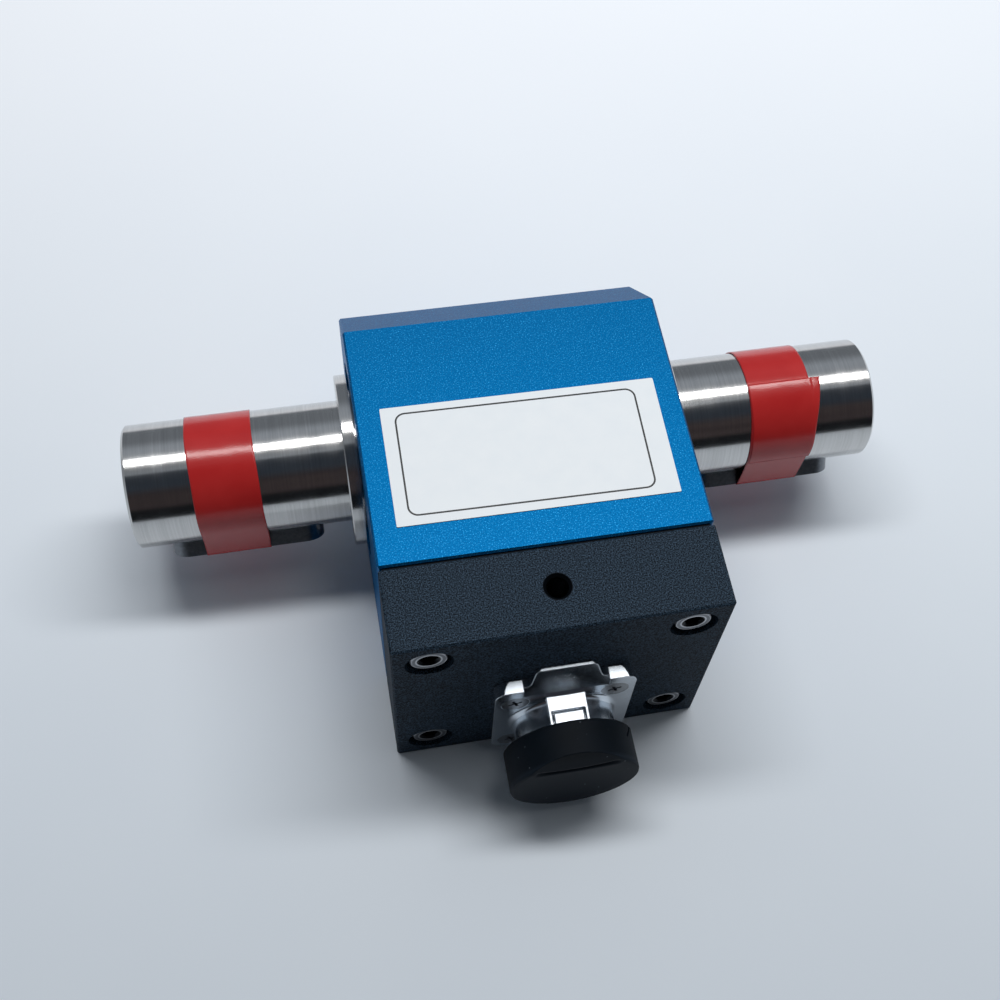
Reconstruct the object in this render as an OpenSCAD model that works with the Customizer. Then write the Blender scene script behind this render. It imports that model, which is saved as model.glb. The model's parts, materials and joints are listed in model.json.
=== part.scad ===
// Rotary torque sensor of the slip ring type, lying on its broad side.
// A keyed steel shaft runs along X through a blue body, and a black cover with the
// connector closes the body on the -Y side. The origin is on the rest face, straight
// below the middle of the shaft's axis, and sizes are in millimetres.

/* [Housing] */
// Width of the housing along the shaft
housing_w = 50; // [46:1:64]
// Height of the housing as it lies
housing_h = 42; // [40:0.5:50]
// Depth of the blue body from its base to the joint
body_d = 52; // [50:1:64]
// Distance of the shaft's axis from the base
axis_to_base = 21; // [20:0.5:25]
// Leg of the 45 degree chamfer along both edges of the base
base_chamfer = 10.5; // [3:0.5:11]
// Small chamfer that breaks the other outer edges
edge_break = 0.3; // [0.2:0.1:0.8]
// Radius of the chamber between the two bearings
chamber_r = 15; // [14.5:0.1:15.5]

/* [Cover] */
// Depth of the black cover
cover_d = 13.1; // [13:0.1:18]
// Thickness of the front wall that carries the connector
cover_front_wall = 4; // [3.5:0.1:5]
// Thickness of the walls on the left and right of the cavity
cover_side_wall = 11; // [10:0.5:12]
// Thickness of the wall above the cavity
cover_roof = 9; // [7:0.5:11]
// Thickness of the wall below the cavity
cover_floor = 4.4; // [3.5:0.1:4.6]
// Thickness of the gasket in the joint
gasket_t = 0.4; // [0.3:0.1:1]
// How far the gasket's edge stays back from the outside
gasket_inset = 0.6; // [0.4:0.1:1.5]

/* [Cover screws] */
// Distance between the screws along the shaft
screw_pitch_x = 39; // [38:0.5:41]
// Distance between the screws in height
screw_pitch_z = 31; // [30:0.5:33]
// Radius of the thread, drawn at its core
m3_core_r = 1.25; // [1.1:0.05:1.4]
// Radius of the socket head
screw_head_r = 2.75; // [2.5:0.05:3]
// Height of the socket head
screw_head_h = 3; // [2.5:0.1:3.2]
// Chamfer on the edge of the socket head
screw_edge = 0.15; // [0.1:0.05:0.4]
// How deep the head lies below the connector face
screw_sunk = 0.5; // [0.3:0.1:2]
// Radius of the counterbore
counterbore_r = 3.6; // [3.2:0.1:3.8]
// Width across the flats of the hexagon socket
hex_flats = 2.5; // [2:0.1:2.6]
// Depth of the hexagon socket
hex_depth = 1.6; // [1:0.1:2]
// Depth of the cone that opens the hexagon socket
hex_lead = 0.4; // [0.2:0.05:0.5]
// Length of thread in the body
screw_grip = 7; // [5:0.5:9]

/* [Tapped holes] */
// Core radius of the M4 holes
m4_core_r = 1.65; // [1.5:0.05:1.8]
// Radius of the countersink at the mouth of an M4 hole
m4_mouth_r = 2.1; // [1.9:0.05:2.6]
// Depth of the hole in the top of the cover
top_hole_depth = 7; // [4:0.5:8]
// Distance of that hole behind the connector face
top_hole_setback = 6.7; // [5:0.1:8]
// Distance between the base holes along the shaft
base_pitch_x = 36; // [30:1:40]
// Distance between the base holes in height
base_pitch_z = 16; // [13:0.5:17]
// Depth of the base holes
base_hole_depth = 6; // [4:0.5:6.5]

/* [Shaft] */
// Overall length of the shaft
shaft_l = 123; // [110:1:150]
// Radius of the shaft's ends and bearing seats
shaft_r = 10; // [9.6:0.1:10.2]
// Chamfer at the shaft's ends
shaft_chamfer = 0.4; // [0.3:0.1:1.5]
// Radius of the shaft between the bearings
shoulder_r = 11.5; // [11.1:0.1:11.6]
// Radius of the thin section that twists
gauge_r = 8; // [6:0.1:9]
// Length of the thin section
gauge_l = 9.5; // [8:0.1:10]
// Distance of the thin section from the left bearing
gauge_setback = 1.8; // [1:0.1:2]
// Fillet at both ends of the thin section
gauge_fillet = 1.5; // [0.5:0.1:2]

/* [Keys and tape] */
// Width of the keys
key_w = 6; // [5:0.5:8]
// Height of the keys
key_h = 6; // [5:0.5:7]
// Depth of the keyways
keyway_depth = 3.5; // [2.5:0.1:4]
// Length of the keys over their round ends
key_l = 25; // [16:1:28]
// Distance of the keys from the shaft's ends
key_setback = 4.5; // [3:0.1:6]
// Direction of the keys, from straight back over the top
key_angle = 236; // [180:1:300]
// Thickness of the tape
tape_t = 0.2; // [0.1:0.05:0.4]
// Width of the tape
tape_w = 10.6; // [8:0.1:14]
// Distance of the left tape from the shaft's end
tape_setback_left = 9.8; // [6:0.1:12]
// Distance of the right tape from the shaft's end
tape_setback_right = 10.9; // [6:0.1:12]
// How far the loose end of the right tape lies further out
tape_lap_shift = 1.4; // [0:0.1:2]
// Direction in which the loose end begins
tape_lap_start = 98; // [90:1:110]
// Angle over which the loose end lies on the first turn
tape_lap_angle = 60; // [20:1:70]

/* [Bearings and collars] */
// Outer radius of the bearings
bearing_r = 16; // [15.8:0.1:16.6]
// Width of the bearings
bearing_w = 7; // [6:0.1:7.5]
// Distance of the bearings behind the side faces
bearing_setback = 2.2; // [2:0.1:2.6]
// Radius of the balls
ball_r = 1.75; // [1.5:0.05:1.85]
// Number of balls in a bearing
ball_count = 11; // [8:1:13]
// Radial thickness of each bearing ring
ring_wall = 1.9; // [1.7:0.05:2]
// Chamfers on the bearing rings
ring_edge = 0.25; // [0.1:0.05:0.4]
// Radial thickness of the cage
cage_wall = 1.2; // [0.8:0.1:1.4]
// Width of the cage
cage_w = 4.6; // [4.2:0.1:5.4]
// Thickness of the retaining rings
circlip_t = 1.2; // [1:0.1:1.3]
// Depth of the groove for a retaining ring
circlip_groove = 0.85; // [0.5:0.05:1]
// Width of a retaining ring's band
circlip_band = 2.2; // [1.6:0.1:2.5]
// Radius of the eyes at the ends of a retaining ring
lug_r = 1.7; // [1.4:0.1:1.9]
// Radius of the holes in those eyes
lug_hole_r = 0.85; // [0.5:0.05:1]
// Opening angle of a retaining ring
circlip_gap = 40; // [30:1:60]
// Radius of the collars
collar_r = 15.5; // [15:0.1:16.5]
// How far the collars stand out of the side faces
collar_proud = 2; // [1.4:0.1:4]
// Chamfer on the outer edge of the collars
collar_chamfer = 0.3; // [0.2:0.1:1]
// Radius of the collar's hub behind its disc
hub_r = 11.6; // [11:0.1:11.8]

/* [Slip rings and brushes] */
// Number of slip rings
slip_count = 4; // [3:1:4]
// Distance from ring to ring
slip_pitch = 3.2; // [2.8:0.1:3.3]
// Width of a ring
slip_w = 2; // [1.4:0.1:2.2]
// Radial thickness of a ring
slip_t = 0.8; // [0.5:0.1:0.9]
// Wall of the insulating sleeve under the rings
sleeve_wall = 0.5; // [0.4:0.05:0.6]
// Rim of the sleeve beyond the outer rings
sleeve_rim = 0.6; // [0.3:0.1:0.8]
// Thickness of the strain gauge patches
patch_t = 0.25; // [0.1:0.05:0.4]
// Angle that a patch covers
patch_angle = 70; // [40:5:110]
// Half of the brush opening's width along the shaft
brush_opening_x = 14; // [13.5:0.1:14.5]
// Half of the brush opening's height
brush_opening_z = 14.5; // [14.4:0.1:14.8]
// Width of the ledge round the brush opening
ledge_w = 2.4; // [1.8:0.1:2.6]
// Depth of the ledge below the joint
ledge_depth = 4; // [3:0.1:5]
// Length of the two bars that hold the brush springs
bar_l = 10; // [6:0.5:11]
// Height of those bars
bar_h = 2; // [1.6:0.1:2.1]
// Thickness of a brush spring
leaf_t = 0.25; // [0.15:0.05:0.3]
// Width of a brush spring
leaf_w = 1.2; // [0.8:0.1:1.4]
// Height of the contact on a brush spring
tip_h = 0.5; // [0.3:0.05:0.5]
// Length of the contact on a brush spring
tip_l = 2; // [1:0.1:3]
// Thickness of the terminal board
board_t = 1.6; // [1:0.1:1.6]
// Half of the terminal board's width
board_half_w = 11; // [9:0.5:12]
// Room between the cavity's floor and the terminal board
board_low = 1.8; // [1:0.1:3]
// Height of the terminal board
board_h = 22; // [21:0.5:23]
// Radius of the posts that carry the board
post_r = 1.5; // [1.2:0.1:2]
// Height of those posts
post_h = 2; // [1.5:0.1:2.2]
// Radius of the pegs on the posts
peg_r = 0.9; // [0.6:0.1:1]
// Distance between the two posts
post_pitch = 16; // [14:0.5:17]
// Distance of posts and pins below the board's upper edge
post_drop = 4; // [3.5:0.1:6]
// Radius of the pins between brush block and board
pin_r = 0.4; // [0.3:0.05:0.6]

/* [Connector] */
// Offset of the connector from the housing's middle
conn_x = 1.1; // [-2:0.1:2]
// Height of the connector's axis
conn_z = 12.9; // [12.6:0.1:14]
// Width of the flange
flange_w = 22; // [21.5:0.1:24]
// Reach of the flange above the axis
flange_up = 12.5; // [12:0.1:14]
// Reach of the flange below the axis
flange_down = 10.7; // [10.4:0.1:11]
// Thickness of the flange
flange_t = 2.1; // [1.9:0.1:3]
// Corner radius of the flange
flange_corner = 2.5; // [1:0.1:3]
// Slope of the flange's upper faces down towards the front, in degrees
flange_draft = 9; // [3:1:12]
// Flat that is left at the back of those faces
draft_land = 0.2; // [0.1:0.05:0.4]
// Distance between the flange screws, both ways
flange_pitch = 15.6; // [15.4:0.1:16]
// Height of the name tab above the flange, left plain
tab_h = 3.4; // [2:0.1:5]
// Half of the tab's width at its top
tab_half_w = 4.6; // [3:0.1:5]
// How far each flank of the tab spreads to its foot
tab_spread = 1; // [0.5:0.1:1.4]
// Radius of the tab's upper corners and of its feet
tab_corner = 1; // [0.4:0.1:1.2]
// Thickness of the tab at its top
tab_top_t = 0.6; // [0.4:0.1:1]
// Distance below the flange's upper edge where the tab's slope begins
tab_slope_drop = 2.2; // [1:0.1:2.6]
// Radius of the barrel's neck
neck_r = 8; // [7.8:0.1:8.2]
// Fillet from the neck to the flange
neck_fillet = 0.9; // [0.4:0.1:1]
// Length of the neck in front of the flange
neck_l = 4.4; // [3.5:0.1:5.5]
// Radius of the barrel's mouth ring, which the cap covers
mouth_r = 8.7; // [8.6:0.1:9]
// Length of the mouth ring
mouth_l = 5.2; // [4:0.1:8]
// Chamfers on the mouth ring
mouth_edge = 0.4; // [0.1:0.1:0.6]
// Radius of the socket in the barrel
socket_r = 6.4; // [5.8:0.1:6.6]
// Depth of the socket in front of the insert
socket_depth = 6.7; // [5:0.1:7]
// Radius of the barrel behind the flange
rear_r = 7.6; // [7.2:0.1:7.8]
// Length of the barrel behind the flange
rear_l = 4.5; // [4:0.1:5]
// How far the insert stands out behind the barrel
insert_overhang = 1.5; // [0.5:0.1:2]
// Width of the latch pad on top of the neck
pad_w = 6.1; // [4:0.1:6.4]
// Height of the latch pad's front edge above the axis
pad_h = 7.9; // [7.8:0.05:8.2]
// Slope of the latch pad down towards the mouth, in degrees
pad_slope = 9; // [3:1:12]
// Width of the slot that frames the latch tongue
slot_w = 0.4; // [0.3:0.05:0.6]
// Depth of that slot
slot_depth = 0.8; // [0.4:0.1:1]
// Width of the latch tongue
tongue_w = 4.5; // [3:0.1:5]
// Length of the latch tongue
tongue_l = 1.75; // [1.2:0.05:2.2]
// Radius of the flange screws' heads
csk_r = 2.2; // [2:0.05:2.3]
// Radius of the flange screws' thread, drawn at its core
m2_core_r = 1; // [0.8:0.05:1.1]
// Length of the flange screws in the cover
csk_grip = 3.4; // [2.5:0.1:3.5]
// Length of the cross recess in a flange screw
cross_l = 2.2; // [1.6:0.1:2.6]
// Angle at which the cross recesses stand
cross_turn = 20; // [0:5:85]
// Width of the cross recess in a flange screw
cross_w = 0.5; // [0.3:0.05:0.7]
// Depth of the cross recess
cross_depth = 0.5; // [0.3:0.05:0.6]
// Metal left between the barrel and the seal ring's groove
seal_land = 1.1; // [0.8:0.1:1.2]
// Radius of the seal ring's section
seal_r = 0.55; // [0.4:0.05:0.6]
// Number of contacts
contact_count = 4; // [3:1:6]
// Radius of the contacts
contact_r = 0.8; // [0.6:0.05:0.9]
// Radius of the bore in a contact
contact_bore_r = 0.5; // [0.3:0.05:0.55]
// Depth of the bore in a contact
contact_bore_depth = 6; // [4:0.5:8]
// Angle of the first contact on its circle
contact_turn = 45; // [0:5:90]
// Radius of the circle that the contacts stand on
contact_circle = 3.2; // [2.6:0.1:4]
// Length of the contacts' solder ends behind the insert
contact_tail = 1.8; // [1:0.1:2]
// Radius of the lead wires
wire_r = 0.5; // [0.3:0.05:0.6]

/* [Dust cap] */
// Outer radius of the cap
cap_r = 10.2; // [10:0.1:11]
// Thickness of the cap's end wall
cap_end = 1.4; // [1.2:0.1:2.5]
// Chamfer on the cap's front edge
cap_chamfer = 1.3; // [0.5:0.1:1.4]
// Chamfers on the cap's open rim
cap_edge = 0.3; // [0.1:0.1:0.5]
// Radius of the thumb dish on the cap's end
dish_r = 7.2; // [5:0.1:8.4]
// Depth of the dish at its upper edge
dish_depth = 0.5; // [0.2:0.1:0.6]
// Distance from the dish's upper edge to where it runs out
dish_run = 10; // [6:0.5:12]
// Angle round the cap at which the slit leaves its open rim
slit_turn = 20; // [0:5:90]
// Lean of the slit from the cap's axis, in degrees
slit_lean = 45; // [0:5:60]
// Length of the slit
slit_l = 3.4; // [2:0.1:4]
// Width of the slit
slit_w = 0.35; // [0.2:0.05:0.6]

/* [Label] */
// Width of the label, left blank
label_w = 42.7; // [30:0.1:44]
// Height of the label
label_h = 20.4; // [14:0.1:24]
// Thickness of the label
label_t = 0.15; // [0.1:0.05:0.3]
// Corner radius of the label
label_corner = 0.6; // [0.2:0.1:3]
// Distance of the label's near edge behind the joint
label_setback = 5.9; // [3:0.1:8]
// Small turn of the label as it was stuck on
label_turn = 0.4; // [-1:0.1:1]

/* [Clearances] */
// Radial gap of pieces that are pressed or slid together
fit_gap = 0.02; // [0.01:0.01:0.05]
// Gap between a turning or sliding piece and what stands still
run_gap = 0.3; // [0.25:0.05:0.5]
// Gap between the balls and their races
race_gap = 0.06; // [0.04:0.01:0.08]
// Gap between a brush contact and its ring
brush_gap = 0.1; // [0.05:0.01:0.15]
// Radial clearance of a screw in a through hole
screw_gap = 0.3; // [0.2:0.05:0.4]

/* [Hidden] */
$fn = 64;

// How far a cut runs past the face that it opens
over = 1;
// Places of the main planes
axis_z = housing_h / 2;
side_x = housing_w / 2;
base_y = axis_to_base;
joint_y = base_y - body_d;
cover_back_y = joint_y - gasket_t;
face_y = cover_back_y - cover_d;
// Bearings, from the side face inwards
bearing_out_x = side_x - bearing_setback;
bearing_in_x = bearing_out_x - bearing_w;
inner_ring_r = shaft_r + fit_gap + ring_wall;
outer_ring_r = bearing_r - ring_wall;
ball_pitch_r = (inner_ring_r + outer_ring_r) / 2;
// Slip rings, from the thin section to the right
gauge_x0 = -bearing_in_x + gauge_setback;
gauge_x1 = gauge_x0 + gauge_l;
sleeve_x0 = gauge_x1 + fit_gap;
sleeve_l = 2 * sleeve_rim + slip_count * slip_pitch;
sleeve_r = shoulder_r + fit_gap + sleeve_wall;
slip_r = sleeve_r + fit_gap + slip_t;
function slip_x(i) = sleeve_x0 + sleeve_rim + slip_pitch * (i + 0.5);
// Brush springs, above and below the rings
leaf_z = slip_r + brush_gap + tip_h;
ledge_y = joint_y + ledge_depth;
bar_end_y = ledge_y + bar_l;
// Terminal board on its posts in the cover
board_y = joint_y - post_h;
board_z0 = cover_floor + board_low;
board_z1 = board_z0 + board_h;
post_z = board_z1 - post_drop;
// Connector, along its own axis in front of the connector face
insert_z = flange_t + neck_l + mouth_l - socket_depth;
mouth_z0 = flange_t + neck_l;
mouth_z1 = mouth_z0 + mouth_l;
insert_back = rear_l + insert_overhang;
seal_circle = rear_r + seal_land + seal_r;
tab_foot = tab_half_w + tab_spread + tab_corner;
cap_in_r = mouth_r + run_gap;
cap_z0 = mouth_z0 + run_gap;
cap_z1 = mouth_z1 + run_gap + cap_end;
csk_h = csk_r - m2_core_r - screw_gap;

function arc(c, r, a0, a1, n = 8) =
    [for (i = [0:n]) c + r * [cos(a0 + (a1 - a0) * i / n), sin(a0 + (a1 - a0) * i / n)]];

// A rectangle whose corners are cut at 45 degrees
module broken_rect(w, h, c) {
    polygon([
        [-w / 2 + c, -h / 2], [w / 2 - c, -h / 2], [w / 2, -h / 2 + c], [w / 2, h / 2 - c],
        [w / 2 - c, h / 2], [-w / 2 + c, h / 2], [-w / 2, h / 2 - c], [-w / 2, -h / 2 + c]
    ]);
}

// A box about its middle with every edge broken
module broken_box(size, c) {
    intersection() {
        linear_extrude(size.z, center = true) broken_rect(size.x, size.y, c);
        rotate([90, 0, 0]) linear_extrude(size.y, center = true) broken_rect(size.x, size.z, c);
        rotate([90, 0, 90]) linear_extrude(size.x, center = true) broken_rect(size.y, size.z, c);
    }
}

// A rectangle with round corners
module round_rect(w, h, r) {
    square([w - 2 * r, h], center = true);
    square([w, h - 2 * r], center = true);
    for (x = [-1, 1], y = [-1, 1])
        translate([x * (w / 2 - r), y * (h / 2 - r)]) circle(r);
}

// A box from two opposite corners
module box(lo, hi) {
    translate(lo) cube(hi - lo);
}

// Turns a shape that stands on Z so that it lies on the shaft's axis.
// Angles round it then count from +Y towards +Z.
module on_shaft(x = 0) {
    translate([x, 0, axis_z]) rotate([90, 0, 90]) children();
}

// The same for a piece that both ends have, mirrored to the left
module at_end(side) {
    mirror([side < 0 ? 1 : 0, 0, 0]) children();
}

// Turns a shape that stands on Z so that it points out of the connector face
module on_connector() {
    translate([conn_x, face_y, conn_z]) rotate([90, 0, 0]) children();
}

// Places copies at the four corners of a rectangle in the XZ plane
module at_corners(pitch_x, pitch_z, centre) {
    for (x = [-1, 1], z = [-1, 1])
        translate([centre.x + x * pitch_x / 2, centre.y, centre.z + z * pitch_z / 2]) children();
}

// A tapped hole that goes down from z = 0, with its countersunk mouth
module tapped_hole(depth) {
    translate([0, 0, -depth]) cylinder(r = m4_core_r, h = depth + over);
    mouth_h = m4_mouth_r - m4_core_r;
    translate([0, 0, -mouth_h]) cylinder(r1 = m4_core_r, r2 = m4_mouth_r, h = mouth_h);
    translate([0, 0, -over / 1000]) cylinder(r = m4_mouth_r, h = over);
}

// The corner that a 45 degree chamfer takes off, as a prism along X
module chamfer_corner(c, length) {
    rotate([90, 0, 90]) linear_extrude(length, center = true)
        polygon([[-c - over, over], [over, over], [over, -c - over]]);
}

// Block of the body with its two base chamfers and all edges broken
module body_block() {
    difference() {
        translate([0, joint_y + body_d / 2, axis_z])
            broken_box([housing_w, body_d, housing_h], edge_break);
        for (up = [0, 1])
            translate([0, 0, axis_z]) mirror([0, 0, 1 - up]) translate([0, base_y, housing_h / 2]) {
                chamfer_corner(base_chamfer, housing_w + 2 * over);
                for (side = [0, 1])
                    mirror([side, 0, 0]) translate([side_x, -base_chamfer / 2, -base_chamfer / 2])
                        rotate([-45, 0, 0]) rotate([0, 0, -90])
                            chamfer_corner(edge_break, 2 * base_chamfer);
            }
    }
}

module body_housing() {
    color("#1277bd") difference() {
        body_block();
        on_shaft() cylinder(r = chamber_r, h = 2 * bearing_in_x + 2 * over, center = true);
        for (side = [-1, 1]) at_end(side) {
            on_shaft(bearing_in_x) cylinder(r = bearing_r + fit_gap, h = side_x - bearing_in_x + over);
            on_shaft(bearing_out_x) cylinder(r = bearing_r + circlip_groove, h = circlip_t + 2 * fit_gap);
        }
        box(
            [-brush_opening_x, joint_y - over, axis_z - brush_opening_z],
            [brush_opening_x, 0, axis_z + brush_opening_z]
        );
        box(
            [-brush_opening_x - ledge_w, joint_y - over, axis_z - brush_opening_z - ledge_w],
            [brush_opening_x + ledge_w, ledge_y, axis_z + brush_opening_z + ledge_w]
        );
        at_corners(screw_pitch_x, screw_pitch_z, [0, joint_y, axis_z])
            rotate([-90, 0, 0]) translate([0, 0, -over])
                cylinder(r = m3_core_r, h = screw_grip + 2 * over);
        at_corners(base_pitch_x, base_pitch_z, [0, base_y, axis_z])
            rotate([-90, 0, 0]) tapped_hole(base_hole_depth);
    }
}

// Outline of the cavity in the cover, also the opening in the gasket
module cavity_box(y0, y1) {
    half = side_x - cover_side_wall;
    box([-half, y0, cover_floor], [half, y1, housing_h - cover_roof]);
}

module cover() {
    head_floor_y = face_y + screw_sunk + screw_head_h;
    color("#2b2f34") difference() {
        translate([0, face_y + cover_d / 2, axis_z])
            broken_box([housing_w, cover_d, housing_h], edge_break);
        cavity_box(face_y + cover_front_wall, cover_back_y + over);
        on_connector() {
            translate([0, 0, -cover_front_wall - over])
                cylinder(r = rear_r + fit_gap, h = cover_front_wall + 2 * over);
            for (x = [-1, 1], y = [-1, 1])
                translate([x * flange_pitch / 2, y * flange_pitch / 2, -csk_grip - fit_gap])
                    cylinder(r = m2_core_r, h = csk_grip + over);
        }
        at_corners(screw_pitch_x, screw_pitch_z, [0, face_y, axis_z]) rotate([-90, 0, 0]) {
            translate([0, 0, -over]) cylinder(r = counterbore_r, h = head_floor_y - face_y + over);
            cylinder(r = m3_core_r + screw_gap, h = cover_d + over);
        }
        translate([0, face_y + top_hole_setback, housing_h]) tapped_hole(top_hole_depth);
    }
}

module cover_gasket() {
    color("#17191b") difference() {
        box(
            [-side_x + gasket_inset, cover_back_y, gasket_inset],
            [side_x - gasket_inset, joint_y, housing_h - gasket_inset]
        );
        cavity_box(cover_back_y - over, joint_y + over);
        at_corners(screw_pitch_x, screw_pitch_z, [0, cover_back_y, axis_z])
            rotate([-90, 0, 0]) translate([0, 0, -over])
                cylinder(r = m3_core_r + screw_gap, h = gasket_t + 2 * over);
    }
}

// A socket head screw with the top of its head at z = 0
module socket_screw(length) {
    difference() {
        union() {
            rotate_extrude() polygon([
                [0, -screw_head_h], [screw_head_r, -screw_head_h], [screw_head_r, -screw_edge],
                [screw_head_r - screw_edge, 0], [0, 0]
            ]);
            translate([0, 0, -screw_head_h - length]) cylinder(r = m3_core_r - fit_gap, h = length);
        }
        translate([0, 0, -hex_depth]) cylinder(d = hex_flats / cos(30), h = hex_depth + over, $fn = 6);
        translate([0, 0, -hex_lead])
            cylinder(r1 = hex_flats / 2, r2 = hex_flats / 2 + hex_lead + over, h = hex_lead + over);
    }
}

module cover_screws() {
    length = cover_d - screw_sunk - screw_head_h + gasket_t + screw_grip;
    color("#8f9296") at_corners(screw_pitch_x, screw_pitch_z, [0, face_y + screw_sunk, axis_z])
        rotate([90, 0, 0]) socket_screw(length);
}

module label() {
    color("#dde2e8") translate([0, joint_y + label_setback + label_h / 2, housing_h])
        rotate([0, 0, label_turn]) linear_extrude(label_t) round_rect(label_w, label_h, label_corner);
}

// A parallel key with round ends, its length along X and its top towards +Z
module key_blank(bottom, top) {
    translate([0, 0, bottom]) linear_extrude(top - bottom) {
        square([key_l - key_w, key_w], center = true);
        for (x = [-1, 1]) translate([x * (key_l - key_w) / 2, 0]) circle(key_w / 2);
    }
}

// Places a key or keyway at one end of the shaft
module at_key(side) {
    at_end(side) translate([shaft_l / 2 - key_setback - key_l / 2, 0, axis_z])
        rotate([key_angle - 90, 0, 0]) children();
}

module shaft() {
    wall0 = gauge_x0 + gauge_fillet;
    wall1 = gauge_x1 - gauge_fillet;
    fillet_r = gauge_r + gauge_fillet;
    end = shaft_l / 2;
    color("#c3c6c9") difference() {
        on_shaft() rotate_extrude() polygon(concat(
            [[0, -end], [shaft_r - shaft_chamfer, -end], [shaft_r, -end + shaft_chamfer]],
            [[shaft_r, -bearing_in_x], [shoulder_r, -bearing_in_x], [shoulder_r, gauge_x0]],
            arc([fillet_r, wall0], gauge_fillet, 270, 180),
            arc([fillet_r, wall1], gauge_fillet, 180, 90),
            [[shoulder_r, gauge_x1], [shoulder_r, bearing_in_x], [shaft_r, bearing_in_x]],
            [[shaft_r, end - shaft_chamfer], [shaft_r - shaft_chamfer, end], [0, end]]
        ));
        for (side = [-1, 1])
            at_key(side) key_blank(shaft_r - keyway_depth, shaft_r + over);
    }
}

module key(side) {
    bottom = shaft_r - keyway_depth;
    color("#8d9196") at_key(side) key_blank(bottom, bottom + key_h);
}

// Outline of a band drawn tight over the shaft and its key, grown by a distance
module taut_outline(grow) {
    r = shaft_r + grow;
    top = shaft_r - keyway_depth + key_h + grow;
    half = key_w / 2 + grow;
    reach = norm([half, top]);
    touch = atan2(half, top) + acos(r / reach);
    rotate(key_angle) union() {
        circle(r);
        polygon([
            [0, 0], r * [cos(touch), -sin(touch)], [top, -half],
            [top, half], r * [cos(touch), sin(touch)]
        ]);
    }
}

// One turn of tape, from x0 to x1
module tape_turn(x0, x1) {
    on_shaft(x0) linear_extrude(x1 - x0) difference() {
        taut_outline(fit_gap + tape_t);
        taut_outline(fit_gap);
    }
}

module tape_left() {
    x0 = -shaft_l / 2 + tape_setback_left;
    color("#b02a2a") tape_turn(x0, x0 + tape_w);
}

module tape_right() {
    x1 = shaft_l / 2 - tape_setback_right;
    lap_r = shaft_r + fit_gap + tape_t;
    color("#b02a2a") {
        tape_turn(x1 - tape_w, x1);
        on_shaft(x1 - tape_w + tape_lap_shift) rotate(tape_lap_start)
            rotate_extrude(angle = tape_lap_angle)
                translate([lap_r - tape_t / 2, 0]) square([1.5 * tape_t, tape_w]);
    }
}

module collar(side) {
    disc_x = side_x + run_gap;
    end_x = side_x + collar_proud;
    bore = shaft_r + fit_gap;
    color("#c9ccce") at_end(side) on_shaft() rotate_extrude() polygon([
        [bore, bearing_out_x], [hub_r, bearing_out_x], [hub_r, disc_x], [collar_r, disc_x],
        [collar_r, end_x - collar_chamfer], [collar_r - collar_chamfer, end_x], [bore, end_x]
    ]);
}

module circlip(side) {
    out_r = bearing_r + circlip_groove - fit_gap;
    band_r = out_r - circlip_band / 2;
    lug_angle = circlip_gap / 2 + asin(lug_r / band_r);
    color("#3a3d40") at_end(side) on_shaft(bearing_out_x + fit_gap) difference() {
        union() {
            rotate(circlip_gap / 2) rotate_extrude(angle = 360 - circlip_gap)
                translate([out_r - circlip_band, 0]) square([circlip_band, circlip_t]);
            for (s = [-1, 1]) rotate(s * lug_angle)
                translate([out_r - circlip_band, 0, 0]) cylinder(r = lug_r, h = circlip_t);
        }
        for (s = [-1, 1]) rotate(s * lug_angle)
            translate([out_r - circlip_band, 0, -over]) cylinder(r = lug_hole_r, h = circlip_t + 2 * over);
    }
}

// A bearing ring between two radii, with the race that the balls roll in
module bearing_ring(side, r0, r1) {
    color("#b9bdc1") at_end(side) on_shaft(bearing_in_x) difference() {
        rotate_extrude() translate([(r0 + r1) / 2, bearing_w / 2])
            broken_rect(r1 - r0, bearing_w, ring_edge);
        translate([0, 0, bearing_w / 2]) rotate_extrude()
            translate([ball_pitch_r, 0]) circle(ball_r + race_gap);
    }
}

// Places copies at the balls of one bearing
module at_balls(side) {
    at_end(side) on_shaft(bearing_in_x + bearing_w / 2)
        for (i = [0:ball_count - 1])
            rotate(i * 360 / ball_count) translate([ball_pitch_r, 0, 0]) children();
}

module bearing_balls(side) {
    color("#d5d8da") at_balls(side) sphere(ball_r);
}

module bearing_cage(side) {
    color("#7a5d36") difference() {
        at_end(side) on_shaft(bearing_in_x + bearing_w / 2) rotate_extrude()
            translate([ball_pitch_r, 0]) square([cage_wall, cage_w], center = true);
        at_balls(side) rotate([0, 90, 0])
            cylinder(r = ball_r + race_gap, h = cage_wall + 2 * over, center = true);
    }
}

module strain_gauges() {
    patch_l = gauge_l - 2 * gauge_fillet - 2 * fit_gap;
    color("#b07a35") on_shaft(gauge_x0 + gauge_fillet + fit_gap)
        for (turn = [0, 180]) rotate(turn - patch_angle / 2) rotate_extrude(angle = patch_angle)
            translate([gauge_r + fit_gap, 0]) square([patch_t, patch_l]);
}

module slip_sleeve() {
    color("#3c3a36") on_shaft(sleeve_x0) rotate_extrude()
        translate([shoulder_r + fit_gap, 0]) square([sleeve_wall, sleeve_l]);
}

module slip_rings() {
    color("#d1ab52") for (i = [0:slip_count - 1]) on_shaft(slip_x(i) - slip_w / 2) rotate_extrude()
        translate([sleeve_r + fit_gap, 0]) square([slip_t, slip_w]);
}

// Places copies at every brush spring, with +Z away from the shaft's axis
module at_springs() {
    for (i = [0:slip_count - 1], up = [0, 1])
        translate([slip_x(i), 0, axis_z]) mirror([0, 0, 1 - up]) translate([0, 0, leaf_z]) children();
}

// One brush spring from its root in the plate to past the middle of the ring
module leaf(grow) {
    box(
        [-leaf_w / 2 - grow, joint_y + ledge_depth / 2 - grow, -grow],
        [leaf_w / 2 + grow, tip_l, leaf_t + grow]
    );
}

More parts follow.
